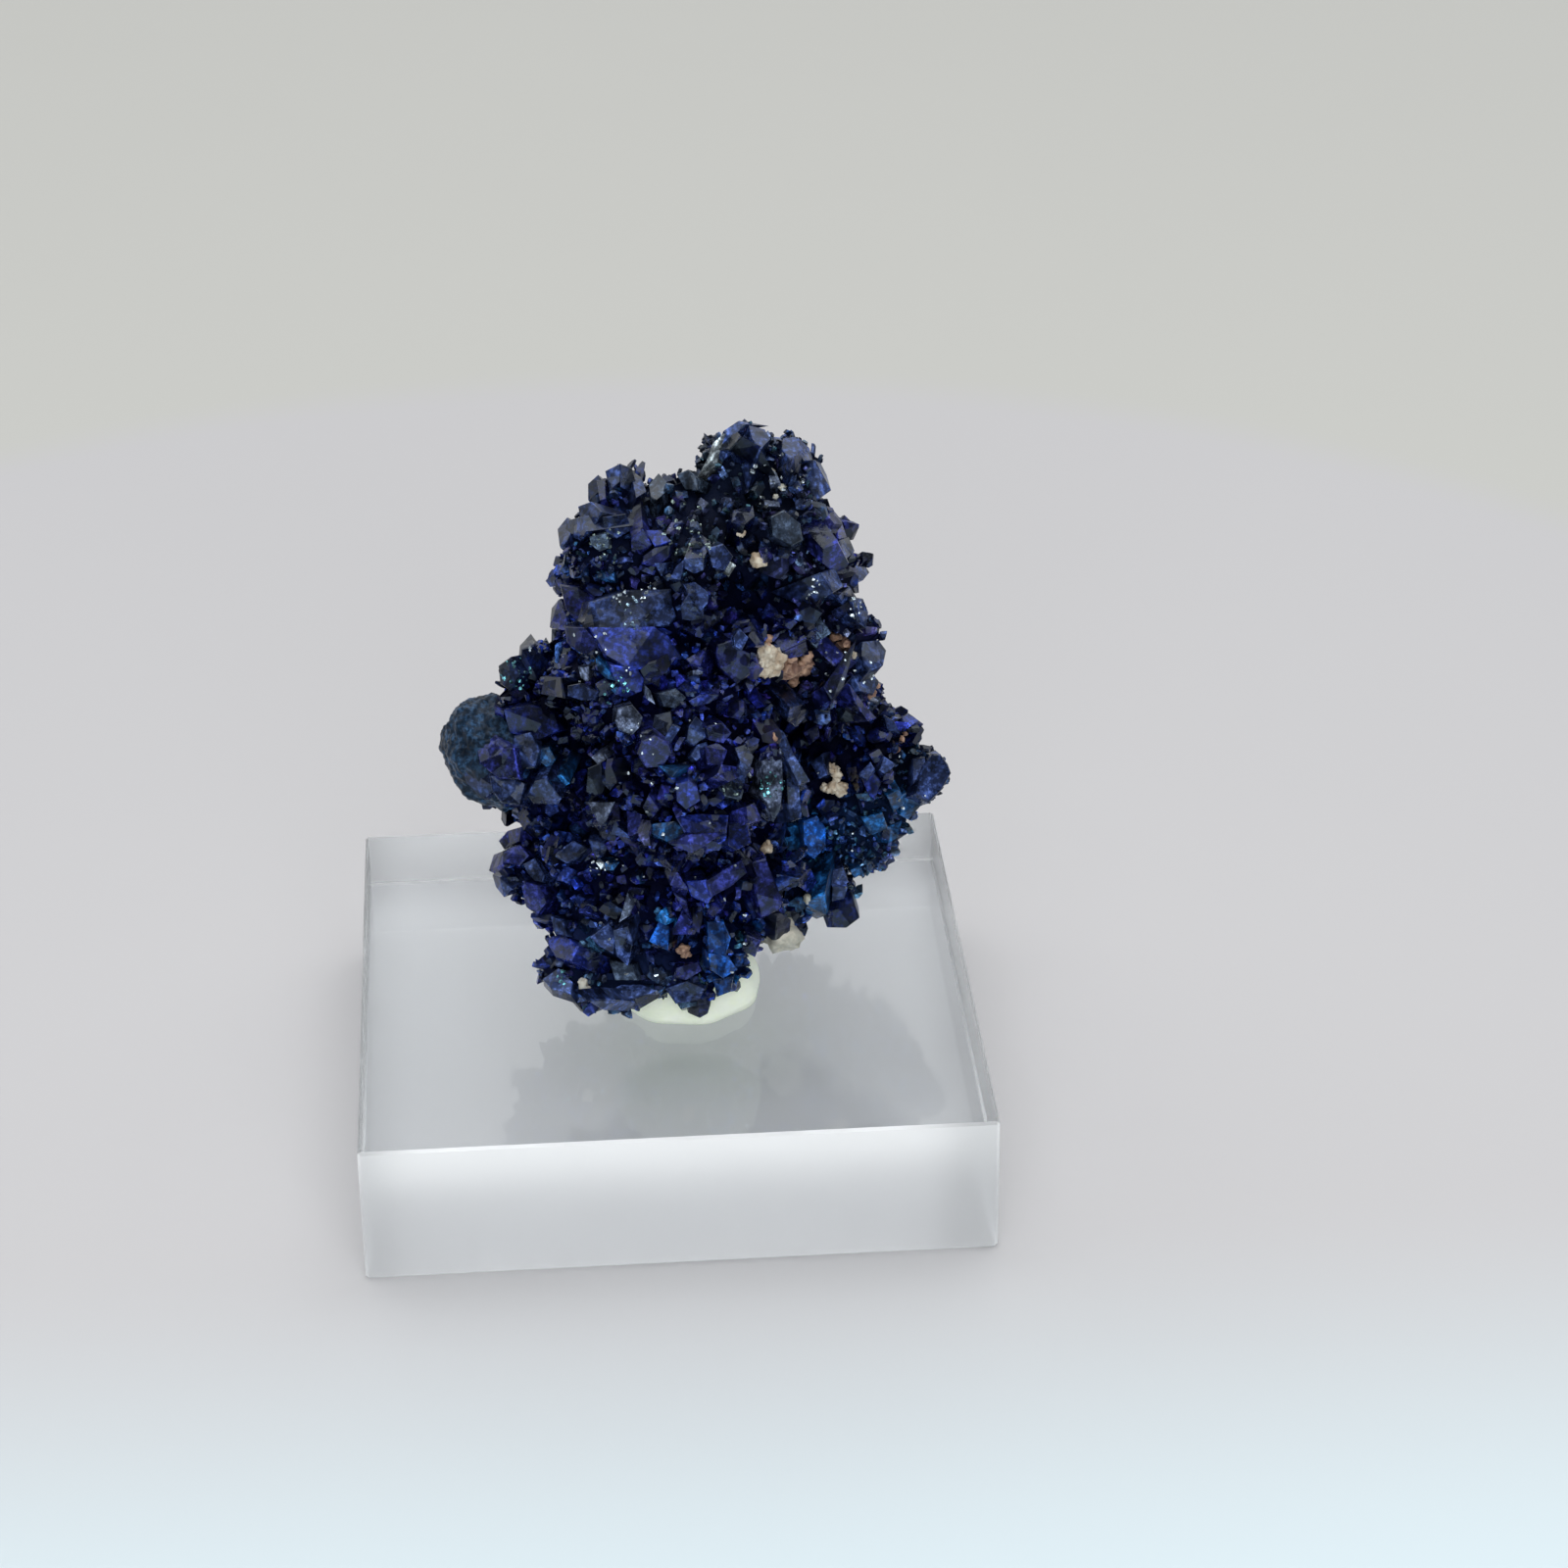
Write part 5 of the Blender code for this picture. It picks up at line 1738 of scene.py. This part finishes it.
    def lobes(self) -> Mesh:
        """The rounded lobes, whose skin is finely bumpy.

        Returns:
            All the lobes in one mesh.
        """
        rng = np.random.default_rng(31)
        parts = []
        for lobe in SMOOTH_LOBES:
            ball = bmesh.new()
            bmesh.ops.create_icosphere(ball, subdivisions=6, radius=1.0)
            skin = np.array([vert.co for vert in ball.verts])
            triangles = np.array([[vert.index for vert in face.verts] for face in ball.faces])
            ball.free()
            swell = np.ones(len(skin))
            for scale, share in self.SWELLS:
                swell += lobe.lump * share * np.array([noise.noise(Vector(point * scale)) for point in skin])
            angle = math.radians(lobe.turn)
            turn = np.array([[math.cos(angle), 0, math.sin(angle)], [0, 1, 0], [-math.sin(angle), 0, math.cos(angle)]])
            points = (skin * swell[:, None] * lobe.radii) @ turn.T + lobe.centre
            tone = np.array([0.8 + 0.6 * noise.noise(Vector(point * 1.3)) for point in points])
            parts.append(Mesh(
                points,
                triangles,
                np.array(lobe.tint) * tone[:, None],
                np.full(len(points), 0.8) + rng.uniform(0, 0.1, len(points)),
                np.full(len(points), 0.08),
                points,
            ))
        return Mesh.joined(parts)

    def _grow(
        self,
        places: np.ndarray,
        normals: np.ndarray,
        along: np.ndarray,
        size: np.ndarray,
        stand: np.ndarray,
        look: dict[str, np.ndarray],
        rng: np.random.Generator,
        root: float | None = None,
    ) -> Mesh:
        """Grows one crystal at each place.

        Args:
            places: Where each one roots.
            normals: The outward direction of the stone there.
            along: The direction of each crystal's length.
            size: Its width, thickness and length.
            stand: How far its tip stands out of the stone.
            look: The tint, shine and dust of each.
            rng: The seeded source of chance.
            root: How much of the tint the painted shade leaves at the root, or None for the painted gap shade there.

        Returns:
            All the crystals in one mesh.
        """
        root = np.full(len(places), root) if root else look["gap"]
        side = unit(np.cross(along, rng.normal(size=places.shape)))
        axes = np.stack([side, np.cross(side, along) * -1, along], axis=2)
        picks = rng.integers(len(self.forms), size=len(places))
        low, high = self.box
        parts = []
        for number, form in enumerate(self.forms):
            chosen = np.flatnonzero(picks == number)
            local = form.points[None] * size[chosen][:, None]
            turned = np.einsum("cij,cpj->cpi", axes[chosen], local)
            reach = np.einsum("cpi,ci->cp", turned, normals[chosen]).max(axis=1)
            shift = places[chosen] + normals[chosen] * (stand[chosen] - reach)[:, None]
            points = turned + shift[:, None]
            fits = ((points > low) & (points < high)).all(axis=(1, 2))
            chosen, points, local = chosen[fits], points[fits], local[fits]
            rise = np.einsum("cpi,ci->cp", points - places[chosen][:, None], normals[chosen]) + self.SUNK
            share = np.clip(rise / (stand[chosen] + self.SUNK)[:, None], 0, 1) ** 1.5
            faces = (len(chosen), form.face_of[-1] + 1)
            tone = np.exp(rng.normal(0, self.FACE_SPREAD, faces))[:, form.face_of]
            gloss = rng.uniform(0.3, 1.6, faces)[:, form.face_of]
            # Each crystal fades from full tint at its tip to the gap shade at its root: painted shade between the
            # crystals.
            rest = root[chosen][:, None]
            shade = ((rest + (1 - rest) * share) * tone).reshape(-1, 1)
            each = np.repeat(chosen, len(form.points))
            offsets = np.arange(len(chosen))[:, None, None] * len(form.points)
            parts.append(Mesh(
                points.reshape(-1, 3),
                (form.triangles[None] + offsets).reshape(-1, 3),
                look["tint"][each] * shade + DEEPEST_SHADE_TINT,
                look["shine"][each] * gloss.reshape(-1),
                look["dust"][each] * share.reshape(-1),
                (local + rng.uniform(0, 50, (len(chosen), 1, 3))).reshape(-1, 3),
            ))
        return Mesh.joined(parts)

    def _spots(self, layer: BedLayer, rng: np.random.Generator) -> tuple[np.ndarray, np.ndarray]:
        """Where the layer's crystals root: no two too close, and clear of what the photograph shows there.

        Args:
            layer: The size and spacing of its crystals.
            rng: The seeded source of chance.

        Returns:
            The places, and the triangle of the stone that each lies on.
        """
        places, owners = self.stone.sample(layer.tries, rng)
        keep = ~self.photographed.covers(places, layer.margin)
        keep &= blended(places, rng, 0.0)["grain"] > layer.coarse
        for patch in INCLUSIONS:
            keep &= np.linalg.norm(places - patch.centre, axis=1) > patch.reach
        for lobe in SMOOTH_LOBES:
            inside = np.linalg.norm((places - lobe.centre) / lobe.radii, axis=1) < self.LOBE_MARGIN
            outward = places[:, 0] * np.sign(lobe.centre[0])
            keep &= ~inside | (outward < abs(lobe.centre[0]) - self.LOBE_LIP)
        if layer.patchiness:
            waves = rng.normal(size=(6, 3)) * 0.9
            phase = rng.uniform(0, math.tau, 6)
            patch = np.sin(places @ waves.T + phase).mean(axis=1)
            keep &= patch > np.quantile(patch, layer.patchiness * 0.6)
        places, owners = places[keep], owners[keep]
        spacing = layer.spacing * (0.2 + 0.8 * blended(places, rng, 0.0)["grain"])
        cells: dict[tuple, list[int]] = {}
        chosen = []
        steps = list(itertools.product((-1, 0, 1), repeat=3))
        for index, (place, cell) in enumerate(zip(places, (places // layer.spacing).astype(int).tolist())):
            x, y, z = cell
            near = [other for i, j, k in steps for other in cells.get((x + i, y + j, z + k), ())]
            if near and (np.linalg.norm(places[near] - place, axis=1) < spacing[index]).any():
                continue
            cells.setdefault((x, y, z), []).append(index)
            chosen.append(index)
        return places[chosen], owners[chosen]


class MatrixInclusions:
    """The other minerals that show between the crystals: cream and tan matrix, pale grains and a pebble."""

    PLACES = 60000

    def __init__(self, stone: Stone) -> None:
        """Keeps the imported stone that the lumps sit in."""
        self.stone = stone

    def build(self) -> list[bpy.types.Object]:
        """Builds one piece for each kind of mineral.

        Returns:
            The pieces.
        """
        rng = np.random.default_rng(41)
        places, owners = self.stone.sample(self.PLACES, rng)
        pieces = []
        for stuff in Stuff:
            lumps = bmesh.new()
            for patch in INCLUSIONS:
                if patch.stuff is stuff:
                    self._huddle(lumps, patch, places, owners, rng)
            name = f"{stuff.name.lower()} mineral"
            mesh = bpy.data.meshes.new(name)
            lumps.to_mesh(mesh)
            lumps.free()
            mesh.shade_smooth()
            mesh.materials.append(StoneFinish(name, *stuff.value).make())
            piece = added(name.replace(" ", "_"), mesh)
            pieces.append(tied(piece, AzuriteCluster.NODE))
        return pieces

    def _huddle(
        self,
        lumps: bmesh.types.BMesh,
        patch: Inclusion,
        places: np.ndarray,
        owners: np.ndarray,
        rng: np.random.Generator,
    ) -> None:
        """Adds one patch's lumps.

        Args:
            lumps: The mesh that they are added to.
            patch: The patch.
            places: Points on the stone to choose from.
            owners: The triangle that each point lies on.
            rng: The seeded source of chance.
        """
        gaps = np.linalg.norm(places - patch.centre, axis=1)
        near = np.flatnonzero(gaps < patch.reach)[: patch.count]
        if len(near) < patch.count:
            near = np.argsort(gaps)[: patch.count]
        for index in near:
            radius = rng.uniform(*patch.size)
            verts = bmesh.ops.create_icosphere(lumps, subdivisions=3, radius=1.0)["verts"]
            stretch = rng.uniform(0.75, 1.2, 3)
            phase = Vector(rng.uniform(0, 50, 3))
            middle = places[index] + self.stone.normals[owners[index]] * radius * patch.rise
            for vert in verts:
                swell = 1 + 0.5 * noise.noise(vert.co * 1.4 + phase) + 0.2 * noise.noise(vert.co * 4 + phase)
                vert.co = Vector((np.array(vert.co) * stretch * swell * radius + middle) * MM)


@dataclass
class ClearBlock:
    """The square acrylic block that the cluster stands on."""

    node: str = "display_block"
    slot: str = "clear_acrylic"
    edge: float = 0.14

    def build(self) -> bpy.types.Object:
        """Builds the block with finely cut edges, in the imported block's own box.

        Returns:
            The block.
        """
        low, high = (Vector(corner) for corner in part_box(self.node))
        shape = bmesh.new()
        bmesh.ops.create_cube(shape, size=1.0)
        bmesh.ops.scale(shape, vec=high - low, verts=shape.verts)
        bmesh.ops.translate(shape, vec=(high + low) / 2, verts=shape.verts)
        bmesh.ops.bevel(shape, geom=shape.edges[:], offset=self.edge * MM, segments=1, affect="EDGES", profile=0.5)
        mesh = bpy.data.meshes.new("clear block")
        shape.to_mesh(mesh)
        shape.free()
        mesh.materials.append(AcrylicFinish().make())
        return tied(added("clear_block", mesh), self.node)


@dataclass
class PuttyDab:
    """The putty between the block and the cluster's foot, squeezed out a little on every side."""

    node: str = "putty_dab"
    slot: str = "mineral_putty"
    rings: int = 14
    sides: int = 72
    lump: float = 0.09
    belly: tuple[float, float] = (0.62, 0.9)
    off_block: float = 0.01

    def build(self) -> bpy.types.Object:
        """Builds the dab as a lumpy low dome, down to the top of the block.

        Returns:
            The dab.
        """
        low, high = (np.array(corner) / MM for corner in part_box(self.node))
        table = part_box(ClearBlock.node)[1][2] / MM + self.off_block
        centre = (low + high) / 2
        radius = (high - low)[:2] / 2
        points, faces = [], []
        for ring in range(self.rings + 1):
            rise = ring / self.rings
            out = math.cos(rise * math.pi / 2) ** self.belly[0]
            height = (high[2] - table) * math.sin(rise * math.pi / 2) ** self.belly[1]
            for side in range(self.sides):
                angle = math.tau * side / self.sides
                swell = 1 - self.lump * (0.5 + 0.5 * math.sin(3 * angle + 0.8) * math.cos(5 * angle + 2.1))
                points.append((
                    centre[0] + radius[0] * out * swell * math.cos(angle),
                    centre[1] + radius[1] * out * swell * math.sin(angle),
                    table + height,
                ))
        for ring in range(self.rings):
            for side in range(self.sides):
                turn = (side + 1) % self.sides
                a, b = ring * self.sides + side, ring * self.sides + turn
                faces.append((a, b, b + self.sides, a + self.sides))
        faces.append(tuple(range(self.sides))[::-1])
        faces.append(tuple(self.rings * self.sides + side for side in range(self.sides)))
        mesh = bpy.data.meshes.new("putty dab")
        mesh.from_pydata([Vector(point) * MM for point in points], [], faces)
        mesh.shade_smooth()
        mesh.materials.append(PuttyFinish().make())
        return tied(added("pressed_putty", mesh), self.node)


@dataclass
class Studio:
    """The pale turntable, the soft light above it and the camera."""

    floor_drop: float = 0.03
    floor_side: float = 3000.0
    aim: Point = (0.0, 0.0, 20.0)
    low_sky: Colour = (0.10, 0.105, 0.12)
    cove: Colour = (0.86, 0.87, 0.89)
    top_sky: Colour = (1.0, 1.0, 1.0)
    view: Viewpoint = Viewpoint()

    def build(self) -> None:
        """Sets up the floor, the lights, the sky and the camera."""
        self._floor()
        self._lights()
        self._sky()
        self._camera()

    def _floor(self) -> None:
        """A wide level sheet just under the block."""
        reach = self.floor_side * MM / 2
        corners = [(-reach, -reach), (reach, -reach), (reach, reach), (-reach, reach)]
        mesh = bpy.data.meshes.new("turntable")
        mesh.from_pydata([(x, y, -self.floor_drop * MM) for x, y in corners], [], [(0, 1, 2, 3)])
        mesh.materials.append(TurntableFinish().make())
        added("turntable", mesh)

    def _lights(self) -> None:
        """A soft panel overhead, a fill in front, and two small panels that make the faces glint."""
        self._panel("overhead panel", (0.0, 0.08, 0.40), 0.46, 0.40)
        for name, place, power in (("high fill", (0.0, -0.24, 0.33), 0.24), ("low fill", (0.0, -0.32, 0.10), 0.52)):
            self._panel(name, place, 0.26, power).visible_glossy = False
        self._panel("left glint", (-0.16, -0.20, 0.36), 0.05, 0.035)
        self._panel("right glint", (0.14, -0.24, 0.34), 0.05, 0.030)

    def _panel(self, name: str, place: Point, side: float, power: float) -> bpy.types.Object:
        """Hangs one square panel of soft light that faces the cluster.

        Args:
            name: Its name.
            place: Where it hangs, in metres.
            side: The length of its side, in metres.
            power: Its power, in watts.

        Returns:
            The panel.
        """
        light = bpy.data.lights.new(name, "AREA")
        light.shape = "SQUARE"
        light.size = side
        light.energy = power
        lamp = added(name, light)
        lamp.location = place
        lamp.rotation_euler = (Vector(self.aim) * MM - Vector(place)).to_track_quat("-Z", "Y").to_euler()
        return lamp

    def _sky(self) -> None:
        """Pale light from all round, brighter from above."""
        world = bpy.data.worlds.new("light tent")
        bpy.context.scene.world = world
        world.use_nodes = True
        graph = Graph(world.node_tree)
        ray = graph.node("ShaderNodeTexCoord", None, None, "Generated")
        height, back = graph.axis(ray, "Z"), graph.axis(ray, "Y")
        top = graph.ramp(height + 0.5 * back, 0.4, 0.85)
        low = graph.mix(graph.ramp(back, -0.25, 0.45) * (1.0 - top), self.low_sky, self.cove)
        colour = graph.mix(top, low, self.top_sky)
        background = graph.node("ShaderNodeBackground", None, {"Color": colour, "Strength": 1.0})
        graph.node("ShaderNodeOutputWorld", None, {"Surface": background})

    def _camera(self) -> None:
        """The camera where the photograph was taken from."""
        data = bpy.data.cameras.new("photo view")
        data.lens = self.view.lens
        data.sensor_width = self.view.sensor
        data.clip_start = 0.01
        camera = added("photo view", data)
        camera.matrix_world = Matrix.Translation(Vector(self.view.place) * MM) @ self.view.turn()
        bpy.context.scene.camera = camera


def report(piece: bpy.types.Object) -> None:
    """Logs a piece's name and its number of faces."""
    log.info("%s: %d faces", piece.name, len(piece.data.polygons))


def main() -> None:
    """Builds every piece in order."""
    logging.basicConfig(level=logging.INFO)
    bpy.context.scene.view_settings.view_transform = "Standard"
    bpy.context.scene.cycles.blur_glossy = 0.0
    studio = Studio()
    studio.build()
    report(ClearBlock().build())
    report(PuttyDab().build())
    stone = Stone(AzuriteCluster.NODE)
    for piece in AzuriteCluster(stone, studio.view).build() + MatrixInclusions(stone).build():
        report(piece)


if __name__ == "__main__":
    main()
